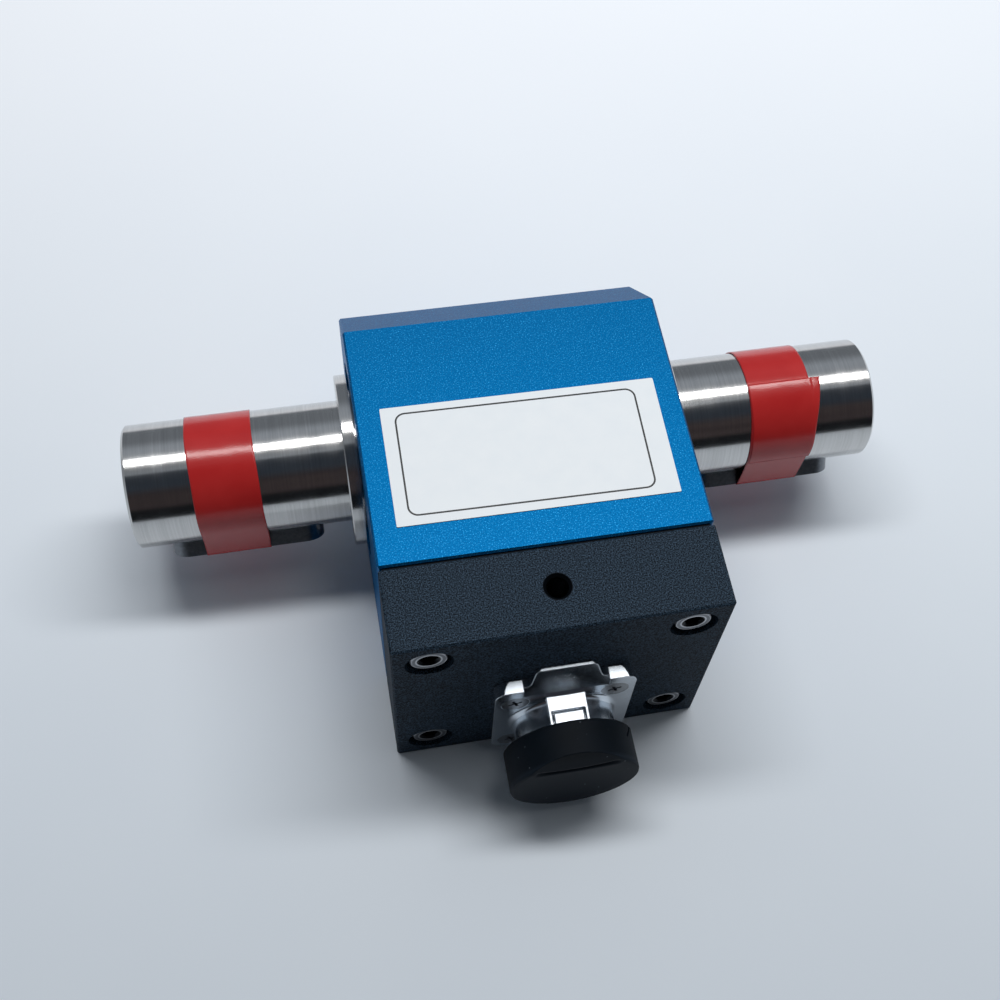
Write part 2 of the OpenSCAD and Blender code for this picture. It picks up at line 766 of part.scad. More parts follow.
module brush_block() {
    plate_x = brush_opening_x + ledge_w - run_gap;
    plate_z = brush_opening_z + ledge_w - run_gap;
    bar_z = brush_opening_z - run_gap;
    color("#26282a") difference() {
        union() {
            box([-plate_x, joint_y, axis_z - plate_z], [plate_x, ledge_y, axis_z + plate_z]);
            for (up = [0, 1]) translate([0, 0, axis_z]) mirror([0, 0, 1 - up])
                box([sleeve_x0, ledge_y, bar_z - bar_h], [sleeve_x0 + sleeve_l, bar_end_y, bar_z]);
            for (s = [-1, 1]) translate([s * post_pitch / 2, joint_y, post_z]) rotate([90, 0, 0]) {
                cylinder(r = post_r, h = post_h);
                cylinder(r = peg_r, h = post_h + board_t + fit_gap);
            }
        }
        at_springs() leaf(fit_gap);
        for (i = [0:slip_count - 1]) translate([slip_x(i), 0, post_z - post_drop])
            rotate([90, 0, 0]) terminal_pin(fit_gap);
    }
}

module brush_springs() {
    color("#b98a3e") at_springs() leaf(0);
}

module brush_contacts() {
    color("#6f6a62") at_springs()
        box([-leaf_w / 2, -tip_l / 2, -tip_h], [leaf_w / 2, tip_l / 2, 0]);
}

// A pin from the brush plate through the board, along Z towards the connector
module terminal_pin(grow) {
    start = -joint_y - ledge_depth / 2 - grow;
    translate([0, 0, start])
        cylinder(r = pin_r + grow, h = -board_y + board_t + pin_r - start + grow);
}

module terminal_board() {
    color("#1f6b45") difference() {
        box([-board_half_w, board_y - board_t, board_z0], [board_half_w, board_y, board_z1]);
        for (s = [-1, 1]) translate([s * post_pitch / 2, board_y + over, post_z])
            rotate([90, 0, 0]) cylinder(r = peg_r + fit_gap, h = board_t + 2 * over);
        for (i = [0:slip_count - 1]) translate([slip_x(i), 0, post_z - post_drop])
            rotate([90, 0, 0]) terminal_pin(fit_gap);
    }
}

module terminal_pins() {
    color("#cfb26a") for (i = [0:slip_count - 1]) translate([slip_x(i), 0, post_z - post_drop])
        rotate([90, 0, 0]) terminal_pin(0);
}

// Places copies at the contacts, along the connector's axis
module at_contacts() {
    for (i = [0:contact_count - 1])
        rotate(contact_turn + i * 360 / contact_count) translate([contact_circle, 0, 0]) children();
}

module lead_wires() {
    start = -insert_back - contact_tail;
    end = face_y - board_y + board_t;
    color("#a33a2c") on_connector() at_contacts()
        translate([0, 0, end]) cylinder(r = wire_r, h = start - end);
}

// Outline of the tab, its foot on y = 0, with round corners and hollow feet
module tab_outline() {
    lean = atan2(tab_spread, tab_h);
    back = tab_corner * tan((90 - lean) / 2);
    top_c = [tab_half_w - back, tab_h - tab_corner];
    foot_c = [tab_half_w + tab_spread + back, tab_corner];
    right = concat(
        arc(foot_c, tab_corner, 270, 180 + lean),
        arc(top_c, tab_corner, lean, 90)
    );
    left = [for (i = [len(right) - 1:-1:0]) [-right[i].x, right[i].y]];
    polygon(concat(right, left, [[-foot_c.x, -over], [foot_c.x, -over]]));
}

// The slope that thins the tab towards its top, as a prism along X
module tab_slope() {
    foot = flange_up - tab_slope_drop;
    top = flange_up + tab_h;
    fall = flange_t - tab_top_t;
    end = top + (top - foot);
    rotate([90, 0, 90]) linear_extrude(2 * tab_foot, center = true)
        polygon([
            [foot, flange_t], [end, flange_t - 2 * fall],
            [end, flange_t + over], [foot, flange_t + over]
        ]);
}

// The wedge that slopes an upper face down towards the front, as a prism along X
module top_draft(height, x0, x1) {
    front = flange_t + over;
    fall = (front - draft_land) * tan(flange_draft);
    translate([x0, 0, 0]) rotate([90, 0, 90]) linear_extrude(x1 - x0)
        polygon([
            [height, draft_land], [height - fall, front],
            [height + over, front], [height + over, draft_land]
        ]);
}

module flange() {
    h = flange_up + flange_down;
    difference() {
        union() {
            translate([0, (flange_up - flange_down) / 2])
                linear_extrude(flange_t) round_rect(flange_w, h, flange_corner);
            translate([0, flange_up]) linear_extrude(flange_t) tab_outline();
        }
        tab_slope();
        top_draft(flange_up + tab_h, -tab_half_w, tab_half_w);
        for (side = [0, 1]) mirror([side, 0, 0]) top_draft(flange_up, tab_foot, flange_w / 2 + over);
    }
}

// The latch pad on top of the neck, as a prism along X that slopes to the mouth
module latch_pad() {
    back_h = pad_h + mouth_z0 * tan(pad_slope);
    rotate([90, 0, 90]) linear_extrude(pad_w, center = true)
        polygon([[0, 0], [back_h, 0], [pad_h, mouth_z0], [0, mouth_z0]]);
}

// The U shaped slot that leaves a tongue in the latch pad
module latch_slot() {
    top = pad_h - slot_depth;
    back = mouth_z0 - tongue_l;
    half = tongue_w / 2;
    box([-half - slot_w, top, back - slot_w], [half + slot_w, pad_h + over, back]);
    for (side = [0, 1]) mirror([side, 0, 0])
        box([half, top, back - slot_w], [half + slot_w, pad_h + over, mouth_z0]);
}

module connector_shell() {
    fillet_c = [neck_r + neck_fillet, flange_t + neck_fillet];
    color("#d7dadd") on_connector() difference() {
        union() {
            flange();
            rotate_extrude() polygon(concat(
                [[0, -rear_l], [rear_r, -rear_l], [rear_r, 0], [neck_r + neck_fillet, 0]],
                arc(fillet_c, neck_fillet, 270, 180),
                [[neck_r, mouth_z0], [mouth_r - mouth_edge, mouth_z0], [mouth_r, mouth_z0 + mouth_edge]],
                [[mouth_r, mouth_z1 - mouth_edge], [mouth_r - mouth_edge, mouth_z1], [0, mouth_z1]]
            ));
            latch_pad();
        }
        translate([0, 0, -rear_l - over]) cylinder(r = socket_r, h = rear_l + mouth_z1 + 2 * over);
        latch_slot();
        rotate_extrude() translate([seal_circle - seal_r - fit_gap, -over])
            square([2 * (seal_r + fit_gap), 2 * seal_r + fit_gap + over]);
        at_flange_screws() {
            translate([0, 0, -flange_t - over])
                cylinder(r = m2_core_r + screw_gap, h = flange_t + 2 * over);
            translate([0, 0, -csk_h]) cylinder(r1 = m2_core_r + screw_gap, r2 = csk_r, h = csk_h);
        }
    }
}

// Places copies at the flange screws, with z = 0 on the flange's front
module at_flange_screws() {
    for (x = [-1, 1], y = [-1, 1])
        translate([x * flange_pitch / 2, y * flange_pitch / 2, flange_t]) children();
}

module connector_screws() {
    shank_l = flange_t + csk_grip;
    head_r = csk_r - fit_gap;
    color("#b4b8bc") on_connector() at_flange_screws() difference() {
        union() {
            translate([0, 0, -csk_h]) cylinder(r1 = head_r - csk_h, r2 = head_r, h = csk_h - fit_gap);
            translate([0, 0, -shank_l]) cylinder(r = m2_core_r - fit_gap, h = shank_l - csk_h / 2);
        }
        for (turn = [0, 90]) rotate(cross_turn + turn) translate([-cross_l / 2, -cross_w / 2, -cross_depth])
            cube([cross_l, cross_w, cross_depth + over]);
    }
}

module connector_seal() {
    color("#202224") on_connector() translate([0, 0, seal_r]) rotate_extrude()
        translate([seal_circle, 0]) circle(seal_r - fit_gap / 2);
}

module connector_insert() {
    color("#1d1f21") on_connector() difference() {
        translate([0, 0, -insert_back]) cylinder(r = socket_r - fit_gap, h = insert_back + insert_z);
        at_contacts() translate([0, 0, -insert_back - over])
            cylinder(r = contact_r + fit_gap, h = insert_back + insert_z + 2 * over);
    }
}

module connector_contacts() {
    length = contact_tail + insert_back + insert_z;
    color("#d8b45c") on_connector() at_contacts()
        translate([0, 0, -insert_back - contact_tail]) difference() {
            cylinder(r = contact_r, h = length);
            translate([0, 0, length - contact_bore_depth]) cylinder(r = contact_bore_r, h = length);
        }
}

// The thumb dish, deepest at its upper edge and running out below the middle
module thumb_dish() {
    run_out = dish_r - dish_run;
    translate([0, run_out, cap_z1]) rotate([-atan(dish_depth / dish_run), 0, 0])
        translate([0, -run_out, 0]) cylinder(r = dish_r, h = over);
}

// The slit in the cap's skirt, which lets the air out when the cap is pushed on
module cap_slit() {
    wall = cap_r - cap_in_r;
    rotate(slit_turn) translate([cap_in_r, 0, cap_z0]) rotate([-slit_lean, 0, 0])
        box([-wall, -slit_w / 2, -over], [2 * wall, slit_w / 2, slit_l]);
}

module dust_cap() {
    color("#14191e") on_connector() difference() {
        rotate_extrude() polygon([
            [0, cap_z1 - cap_end], [cap_in_r, cap_z1 - cap_end],
            [cap_in_r, cap_z0 + cap_edge], [cap_in_r + cap_edge, cap_z0],
            [cap_r - cap_edge, cap_z0], [cap_r, cap_z0 + cap_edge],
            [cap_r, cap_z1 - cap_chamfer], [cap_r - cap_chamfer, cap_z1], [0, cap_z1]
        ]);
        thumb_dish();
        cap_slit();
    }
}

body_housing();
cover();
cover_gasket();
cover_screws();
label();
shaft();
key(-1);  // key_left
key(1);  // key_right
tape_left();
tape_right();
collar(-1);  // collar_left
collar(1);  // collar_right
circlip(-1);  // circlip_left
circlip(1);  // circlip_right
bearing_ring(-1, outer_ring_r, bearing_r);  // bearing_outer_left
bearing_ring(1, outer_ring_r, bearing_r);  // bearing_outer_right
bearing_ring(-1, shaft_r + fit_gap, inner_ring_r);  // bearing_inner_left
bearing_ring(1, shaft_r + fit_gap, inner_ring_r);  // bearing_inner_right
bearing_balls(-1);  // bearing_balls_left
bearing_balls(1);  // bearing_balls_right
bearing_cage(-1);  // bearing_cage_left
bearing_cage(1);  // bearing_cage_right
strain_gauges();
slip_sleeve();
slip_rings();
brush_block();
brush_springs();
brush_contacts();
terminal_board();
terminal_pins();
lead_wires();
connector_shell();
connector_seal();
connector_screws();
connector_insert();
connector_contacts();
dust_cap();
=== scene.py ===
# %% [markdown]
# # Rotary torque sensor
# This instrument measures the twist in a turning shaft. A keyed steel shaft runs through a
# blue body, a black cover closes the body, and a round connector under a rubber cap leads the
# signal out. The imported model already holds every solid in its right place. This lesson gives
# the solids their finishes, adds the pieces that are too soft or too fine for solids, and sets
# up the camera and the light.

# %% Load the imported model
import json
import math

import bmesh
import bpy
from mathutils import Matrix, Vector, noise


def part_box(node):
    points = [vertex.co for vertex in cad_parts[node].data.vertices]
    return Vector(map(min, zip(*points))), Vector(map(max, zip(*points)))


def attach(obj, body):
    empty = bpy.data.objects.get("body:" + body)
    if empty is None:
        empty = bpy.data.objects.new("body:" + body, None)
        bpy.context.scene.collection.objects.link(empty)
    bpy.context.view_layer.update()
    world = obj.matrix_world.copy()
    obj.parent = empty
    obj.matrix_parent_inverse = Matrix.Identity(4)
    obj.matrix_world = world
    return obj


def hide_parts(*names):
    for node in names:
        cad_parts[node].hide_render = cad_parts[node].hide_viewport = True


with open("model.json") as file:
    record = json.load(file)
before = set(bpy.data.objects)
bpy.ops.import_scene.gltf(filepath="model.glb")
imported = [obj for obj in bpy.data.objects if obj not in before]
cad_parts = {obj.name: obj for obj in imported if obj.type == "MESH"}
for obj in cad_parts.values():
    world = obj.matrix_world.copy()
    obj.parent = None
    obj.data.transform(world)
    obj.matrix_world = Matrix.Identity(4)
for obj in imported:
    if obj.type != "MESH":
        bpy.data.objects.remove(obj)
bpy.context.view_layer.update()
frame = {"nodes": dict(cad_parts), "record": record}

solids = frame["nodes"]
mm = 0.001


def in_mm(metres):
    """Rounded millimetres, for printing."""
    return [round(c / mm, 2) for c in metres]


# %% [markdown]
# ## Camera
# The picture was taken from above and in front, with the connector towards the viewer. The
# camera could be turned by hand until it looks right, but here its place, turn and lens were
# worked out from the corners of the housing, whose sizes are known, and are simply written in.

# %% Stand the camera above the connector side
camera = bpy.data.objects.new("camera", bpy.data.cameras.new("camera"))
bpy.context.scene.collection.objects.link(camera)
camera.location = Vector((-29.49, -119.44, 219.64)) * mm
camera.rotation_euler = [math.radians(turn) for turn in (28.153, -3.727, -10.665)]
camera.data.sensor_width = 36
camera.data.lens = 49.8
camera.data.shift_x, camera.data.shift_y = -0.0417, 0.0266
camera.data.clip_start = 0.01
bpy.context.scene.camera = camera
bpy.context.scene.view_settings.view_transform = "Standard"
print("camera at", in_mm(camera.location), "mm")

# %% [markdown]
# ## Small helpers for materials
# Shaders count in linear light while colours are usually written as sRGB hex values, so one
# function turns one into the other. Every material below is a small tree of nodes. One more
# function adds a node, gives it its settings and joins it to the nodes before it, which keeps
# each recipe short enough to read. A Mix node has a set of sockets for each kind of value, and
# sockets of the same name are told apart by number, so the ones for colours get names here.

# %% Colour, node and material helpers
share, first, second, mixed = 0, 6, 7, 2


def linear(code):
    """Linear colour of an sRGB hex value."""
    parts = [int(code[i:i + 2], 16) / 255 for i in (1, 3, 5)]
    return [c / 12.92 if c <= 0.04045 else ((c + 0.055) / 1.055) ** 2.4 for c in parts] + [1.0]


def put(tree, kind, inputs=None, **settings):
    """Adds a node; an input is either a value or the output of another node."""
    node = tree.nodes.new(kind)
    for name, value in settings.items():
        setattr(node, name, value)
    for socket, value in (inputs or {}).items():
        if isinstance(value, bpy.types.NodeSocket):
            tree.links.new(value, node.inputs[socket])
        else:
            node.inputs[socket].default_value = value
    return node


def start_finish(name, **sockets):
    """A new material with its shader's constants, and the place on the object for patterns."""
    material = bpy.data.materials.new(name)
    material.use_nodes = True
    tree = material.node_tree
    shader = tree.nodes["Principled BSDF"]
    for socket, value in sockets.items():
        shader.inputs[socket.replace("_", " ")].default_value = value
    place = put(tree, "ShaderNodeTexCoord").outputs["Object"]
    return material, tree, shader, place


def per_mm(size):
    """Scale of a pattern whose features are this many millimetres across."""
    return 1000 / size


print("sRGB #808080 is", round(linear("#808080")[0], 3), "in linear light")

# %% [markdown]
# ## Floor
# The sensor lies on a pale sheet. A large flat grid is enough, because the sheet shows no edge.
# Its colour is a cool white with the faint cloudiness of a matt board, and painted light makes it lighter
# towards the back.

# %% Lay the pale sheet
def finished_object(name, mesh, *materials):
    """Turns a bmesh into an object at the origin."""
    data = bpy.data.meshes.new(name)
    mesh.to_mesh(data)
    mesh.free()
    made = bpy.data.objects.new(name, data)
    bpy.context.scene.collection.objects.link(made)
    for material in materials:
        data.materials.append(material)
    return made


# To the eye this is a dull, cool white without any gloss.
painted_light_from, painted_light_to = -0.06, 0.26
sheet_board, tree, shader, place = start_finish("Matt board, pale", Roughness=0.9, Specular_IOR_Level=0.0)
cloud = put(tree, "ShaderNodeTexNoise", {"Vector": place, "Scale": per_mm(60), "Detail": 3})
tone = put(tree, "ShaderNodeMix", data_type="RGBA", inputs={
    share: cloud.outputs["Fac"], first: linear("#E2EAF2"), second: linear("#EAF1F7")})
depth = put(tree, "ShaderNodeSeparateXYZ", {"Vector": place})
# Painted light: the colour gets lighter towards the back.
painted_light_ramp = put(tree, "ShaderNodeMapRange", interpolation_type="SMOOTHSTEP", inputs={
    "Value": depth.outputs["Y"], "From Min": painted_light_from, "From Max": painted_light_to})
back = put(tree, "ShaderNodeMix", data_type="RGBA", inputs={
    share: painted_light_ramp.outputs[0], first: tone.outputs[mixed], second: linear("#F7F9FD")})
tree.links.new(back.outputs[mixed], shader.inputs["Base Color"])
ground = bmesh.new()
bmesh.ops.create_grid(ground, x_segments=8, y_segments=8, size=3)
sheet = finished_object("sheet", ground, sheet_board)
print("sheet", sheet.dimensions.x, "m wide")

# %% [markdown]
# ## Lamps
# One long lamp hangs overhead and slightly behind the shaft. On the round steel it shows as the
# narrow white strip, and it throws the soft shadow in front of the shaft. A sun would give hard
# shadows, so both lamps are areas. A small one nearer to the front lights the connector a little.

# %% Hang the lamps
def hang(name, size, place, target, energy):
    """An area lamp of the given size, hung at a place and turned to a target."""
    lamp = bpy.data.objects.new(name, bpy.data.lights.new(name, "AREA"))
    bpy.context.scene.collection.objects.link(lamp)
    lamp.data.shape = "RECTANGLE"
    lamp.data.size, lamp.data.size_y = size
    lamp.data.energy = energy
    lamp.location = place
    lamp.rotation_euler = (Vector(target) - lamp.location).to_track_quat("-Z", "Y").to_euler()
    return lamp


lamp = hang("strip lamp", size=(0.6, 0.11), place=(0.08, 0.1, 0.52), target=(0.12, 0.45, 0), energy=3.12)
fill = hang("front lamp", size=(0.16, 0.09), place=(0.08, -0.035, 0.52), target=(0, -0.045, 0), energy=0.13)
print("lamps of", round(lamp.data.energy, 2), "and", round(fill.data.energy, 2), "W")

# %% [markdown]
# ## Walls
# Pale walls give the rest of the light, most of it from behind: it rises towards the back and
# falls again low on the back wall. From the front hardly any light comes, and the wall there
# would look nearly black. Light Path tells the rays that come from the camera, from gloss and
# from glass from those that light the object, so the first kinds meet a pale wall in front too.

# %% Tint the walls
brightest = 0.62
pale_strength = 0.8
studio = bpy.data.worlds.new("studio walls")
bpy.context.scene.world = studio
studio.use_nodes = True
room = studio.node_tree
walls = room.nodes["Background"]
walls.inputs["Color"].default_value = linear("#D0DAE6")
towards = put(room, "ShaderNodeTexCoord").outputs["Generated"]
side = put(room, "ShaderNodeSeparateXYZ", {"Vector": towards}).outputs["Y"]
rise = put(room, "ShaderNodeMapRange", interpolation_type="SMOOTHSTEP", inputs={
    "Value": side, "From Min": -0.2, "From Max": brightest, "To Min": 0.07, "To Max": 0.56})
fall = put(room, "ShaderNodeMapRange", interpolation_type="SMOOTHSTEP", inputs={
    "Value": side, "From Min": brightest, "From Max": 0.86, "To Max": 0.26})
level = put(room, "ShaderNodeMath", {0: rise.outputs[0], 1: fall.outputs[0]}, operation="SUBTRACT")
ray = put(room, "ShaderNodeLightPath").outputs
direct = put(room, "ShaderNodeMath", {0: ray["Is Camera Ray"], 1: ray["Is Glossy Ray"]}, operation="ADD")
seen = put(room, "ShaderNodeMath", {0: direct.outputs[0], 1: ray["Is Transmission Ray"]}, operation="ADD")
front = put(room, "ShaderNodeMapRange", {"Value": side, "From Min": 0.1, "From Max": -0.4})
pale = put(room, "ShaderNodeMath", {0: seen.outputs[0], 1: front.outputs[0]}, operation="MULTIPLY")
plain = put(room, "ShaderNodeMix", {"Factor": pale.outputs[0], "A": level.outputs[0], "B": pale_strength})
room.links.new(plain.outputs["Result"], walls.inputs["Strength"])
print(studio.name, "with", len(room.nodes), "nodes")

# %% [markdown]
# ## Dark card
# Polished metal only looks like metal when it has something dark to mirror. Two plain grids make a dark card
# behind the camera, with a part of it lying on the sheet: painted shade for the metal to mirror. The card
# shows in reflections alone, so that it neither darkens the sheet nor stands in the way of other views.

# %% Stand the card
# Seen only in reflections, this is a soft brown, nearly black at its foot and greyer at its top: painted
# shade for the metal to mirror.
card_back, foot_depth, card_lift = -0.35, 0.2, 0.003
mirrored_shade_card, tree, shader, place = start_finish("Dark card, painted shade", Roughness=0.95)
blotch = put(tree, "ShaderNodeTexNoise", {"Vector": place, "Scale": per_mm(160), "Detail": 2})
tone = put(tree, "ShaderNodeMix", data_type="RGBA", inputs={
    share: blotch.outputs["Fac"], first: linear("#3E3433"), second: linear("#7A6864")})
height = put(tree, "ShaderNodeSeparateXYZ", {"Vector": place}).outputs["Z"]
# Painted shade: by height, the card is nearly black at its foot and greyer at its top.
middle = put(tree, "ShaderNodeMapRange", {"Value": height, "From Min": 0.09, "From Max": 0.14})
warm = put(tree, "ShaderNodeMix", data_type="RGBA", inputs={
    share: middle.outputs[0], first: linear("#1C1E22"), second: tone.outputs[mixed]})
top = put(tree, "ShaderNodeMapRange", {"Value": height, "From Min": 0.34, "From Max": 0.5})
cool = put(tree, "ShaderNodeMix", data_type="RGBA", inputs={
    share: top.outputs[0], first: warm.outputs[mixed], second: linear("#535B66")})
tree.links.new(cool.outputs[mixed], shader.inputs["Base Color"])
board = bmesh.new()
upright = Matrix.Translation((0, card_back, 1 + card_lift)) @ Matrix.Rotation(math.radians(90), 4, "X")
bmesh.ops.create_grid(board, x_segments=1, y_segments=1, size=1.0, matrix=upright)
foot = Matrix.Translation((0, card_back + foot_depth / 2, card_lift))
foot = foot @ Matrix.Diagonal((1, foot_depth / 2, 1, 1))
bmesh.ops.create_grid(board, x_segments=1, y_segments=1, size=1.0, matrix=foot)
card = finished_object("card", board, mirrored_shade_card)
card.visible_camera = False
card.visible_diffuse = False
card.visible_shadow = False
print("card", [round(d, 2) for d in card.dimensions], "m")

# %% [markdown]
# ## Blue body
# The body is milled from aluminium, blasted with glass beads and anodised in blue dye. Metal
# under a dyed skin keeps its own colour in the reflection, so the shader is a coloured metal.
# The beads leave tiny pits: a fine noise varies the dye from pit to pit, and the peaks of a second noise are
# painted glints, pale blue painted highlights where pits would face the light. A thin clear coat stands for
# the sealed oxide, which mirrors the pale wall on the edge at the back.

# %% Anodised blue, bead blasted
# To the eye this is a deep blue with a silky sheen and a fine sparkle, and the sparkle is painted glints.
# Real pits are too fine to show, so they are drawn as coarse as the picture needs.
blue, tree, shader, place = start_finish(
    "Anodised aluminium, blue, bead blasted", Metallic=1.0, Roughness=0.55, Coat_Weight=0.21,
    Coat_Roughness=0.1, Specular_Tint=linear("#B4C0D4"))
pits = put(tree, "ShaderNodeTexNoise", {
    "Vector": place, "Scale": per_mm(0.24), "Detail": 2, "Roughness": 0.6})
tone = put(tree, "ShaderNodeMix", data_type="RGBA", inputs={
    share: pits.outputs["Fac"], first: linear("#004377"), second: linear("#0074AD")})
# Painted glints: the peaks of this noise are painted pale blue highlights.
painted_glint_noise = put(tree, "ShaderNodeTexNoise", {"Vector": place, "Scale": per_mm(0.2), "Detail": 1})
painted_glint_mask = put(tree, "ShaderNodeMapRange", {"Value": painted_glint_noise.outputs["Fac"], "From Min": 0.57, "From Max": 0.77})
tone_with_painted_glints = put(tree, "ShaderNodeMix", data_type="RGBA", inputs={
    share: painted_glint_mask.outputs[0], first: tone.outputs[mixed], second: linear("#34A0D8")})
relief = put(tree, "ShaderNodeBump", {
    "Height": pits.outputs["Fac"], "Strength": 0.3, "Distance": 0.04 * mm})
tree.links.new(tone_with_painted_glints.outputs[mixed], shader.inputs["Base Color"])
tree.links.new(relief.outputs["Normal"], shader.inputs["Normal"])
print(blue.name)

# %% [markdown]
# ## Black cover
# The cover gets the same blasting and a black dye. So little light comes back from the dyed skin that only
# its clear oxide shows, so this is a dark, dull shader with pale specks. The mouth of the tapped hole on top
# is painted darker, as painted shade: the distance from the hole's axis tells where.

# %% Anodised black, bead blasted
# To the eye this is a soft blue-black with a grey grain. The pits are drawn coarser than real
# ones here too.
top_hole = Vector((0, -37.8, 0)) * mm
mouth_radius, mouth_blend = 2.1 * mm, 0.12 * mm
black, tree, shader, place = start_finish(
    "Anodised aluminium, black, bead blasted", Roughness=0.55, Specular_IOR_Level=0.05)
pits = put(tree, "ShaderNodeTexNoise", {
    "Vector": place, "Scale": per_mm(0.2), "Detail": 2, "Roughness": 0.6})
speck = put(tree, "ShaderNodeMapRange", {"Value": pits.outputs["Fac"], "From Min": 0.42, "From Max": 0.72})
tone = put(tree, "ShaderNodeMix", data_type="RGBA", inputs={
    share: speck.outputs[0], first: linear("#0B131B"), second: linear("#465A6D")})
flat = put(tree, "ShaderNodeVectorMath", {0: place, 1: (1, 1, 0)}, operation="MULTIPLY")
away = put(tree, "ShaderNodeVectorMath", {0: flat.outputs[0], 1: top_hole}, operation="DISTANCE")
# Painted shade: the mouth of the hole is painted nearly black.
mouth = put(tree, "ShaderNodeMapRange", {
    "Value": away.outputs["Value"], "From Min": mouth_radius + mouth_blend, "From Max": mouth_radius})
mouth_painted_shade = put(tree, "ShaderNodeMix", data_type="RGBA", inputs={
    share: mouth.outputs[0], first: tone.outputs[mixed], second: linear("#03060A")})
relief = put(tree, "ShaderNodeBump", {
    "Height": pits.outputs["Fac"], "Strength": 0.35, "Distance": 0.05 * mm})
tree.links.new(mouth_painted_shade.outputs[mixed], shader.inputs["Base Color"])
tree.links.new(relief.outputs["Normal"], shader.inputs["Normal"])
print(black.name)

# %% [markdown]
# ## Ground steel
# The shaft is stainless steel, ground round and round, which leaves fine rings. A noise that is
# stretched about eightyfold round the shaft gives such rings: its squeezed coordinates change
# fast along the shaft and hardly at all round it.

# %% Ground stainless steel
# To the eye this is a row of bright and dark bands along the shaft, crossed by fine rings. Real
# rings are too fine to show, so they are drawn coarser.
squeezed = 0.012
steel, tree, shader, place = start_finish("Stainless steel, ground", Metallic=1.0)
squeeze = put(tree, "ShaderNodeMapping", {"Vector": place, "Scale": (1, squeezed, squeezed)}).outputs[0]
rings = put(tree, "ShaderNodeTexNoise", {
    "Vector": squeeze, "Scale": per_mm(0.3), "Detail": 3, "Roughness": 0.7})
bands = put(tree, "ShaderNodeTexNoise", {"Vector": squeeze, "Scale": per_mm(2.5), "Detail": 2})
tone = put(tree, "ShaderNodeMix", data_type="RGBA", inputs={
    share: rings.outputs["Fac"], first: linear("#ACABAA"), second: linear("#DAD9D7")})
dull = put(tree, "ShaderNodeMapRange", {"Value": bands.outputs["Fac"], "To Min": 0.1, "To Max": 0.2})
relief = put(tree, "ShaderNodeBump", {
    "Height": rings.outputs["Fac"], "Strength": 0.08, "Distance": 0.02 * mm})
tree.links.new(tone.outputs[mixed], shader.inputs["Base Color"])
tree.links.new(dull.outputs[0], shader.inputs["Roughness"])
tree.links.new(relief.outputs["Normal"], shader.inputs["Normal"])
print(steel.name)

# %% [markdown]
# ## Chromed connector
# The connector's shell is die cast zinc under bright chrome. Castings are never quite flat, and
# a slow, very shallow swell in the normals bends the reflections the way a real casting does.
# The plating also rounds every edge, which a Bevel node gives to the normals alone.

# %% Chrome on cast zinc
# To the eye this is a play of white and black reflections with softly rounded edges.
chrome, tree, shader, place = start_finish("Chrome on die cast zinc", Metallic=1.0)
swell = put(tree, "ShaderNodeTexNoise", {"Vector": place, "Scale": per_mm(2.2), "Detail": 2})
dull = put(tree, "ShaderNodeMapRange", {"Value": swell.outputs["Fac"], "To Min": 0.16, "To Max": 0.22})
tone = put(tree, "ShaderNodeMix", data_type="RGBA", inputs={
    share: swell.outputs["Fac"], first: linear("#C6CED6"), second: linear("#DDE3E9")})
soft_edge = put(tree, "ShaderNodeBevel", {"Radius": 0.2 * mm}, samples=6).outputs[0]
relief = put(tree, "ShaderNodeBump", {
    "Height": swell.outputs["Fac"], "Strength": 0.05, "Distance": 0.01 * mm, "Normal": soft_edge})
tree.links.new(tone.outputs[mixed], shader.inputs["Base Color"])
tree.links.new(dull.outputs[0], shader.inputs["Roughness"])
tree.links.new(relief.outputs["Normal"], shader.inputs["Normal"])
print(chrome.name)

# %% [markdown]
# ## Rubber
# The dust cap is moulded rubber, matt and nearly black, and its end is painted a little greyer as painted
# light. A fine grain keeps its highlight soft and slightly broken, and a few specks of dust cling to it, the
# rare peaks of another noise.

# %% Moulded rubber
# To the eye this is an almost flat black with a weak, broad highlight. The grain and the dust
# are drawn coarser than real ones, so that they show.
cap_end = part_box("dust_cap")[0].y
rubber, tree, shader, place = start_finish("Moulded rubber, black", Roughness=0.6, Specular_IOR_Level=0.09)
grain = put(tree, "ShaderNodeTexNoise", {"Vector": place, "Scale": per_mm(0.4), "Detail": 3})
smear = put(tree, "ShaderNodeTexNoise", {"Vector": place, "Scale": per_mm(5), "Detail": 3})
tone = put(tree, "ShaderNodeMix", data_type="RGBA", inputs={
    share: smear.outputs["Fac"], first: linear("#03080D"), second: linear("#0A141E")})
depth = put(tree, "ShaderNodeSeparateXYZ", {"Vector": place})
# Painted light: the cap's end is painted a little greyer than its skirt.
end_light_mask = put(tree, "ShaderNodeMapRange", {
    "Value": depth.outputs["Y"], "From Min": cap_end + 1.2 * mm, "From Max": cap_end + 0.6 * mm})
tone_with_end_light = put(tree, "ShaderNodeMix", data_type="RGBA", inputs={
    share: end_light_mask.outputs[0], first: tone.outputs[mixed], second: linear("#141C25")})
lint = put(tree, "ShaderNodeTexNoise", {"Vector": place, "Scale": per_mm(0.5), "Detail": 1})
speck = put(tree, "ShaderNodeMapRange", {"Value": lint.outputs["Fac"], "From Min": 0.77, "From Max": 0.82})
dust_and_end_light = put(tree, "ShaderNodeMix", data_type="RGBA", inputs={
    share: speck.outputs[0], first: tone_with_end_light.outputs[mixed], second: linear("#6A747C")})
relief = put(tree, "ShaderNodeBump", {
    "Height": grain.outputs["Fac"], "Strength": 0.2, "Distance": 0.03 * mm})
tree.links.new(dust_and_end_light.outputs[mixed], shader.inputs["Base Color"])
tree.links.new(relief.outputs["Normal"], shader.inputs["Normal"])
print(rubber.name)

# %% [markdown]
# ## Tape
# Red insulating tape is soft vinyl with a satin skin. Wound by hand, its face is never smooth,
# so a shallow wavy relief breaks the lamp's strip as it crosses the tape.

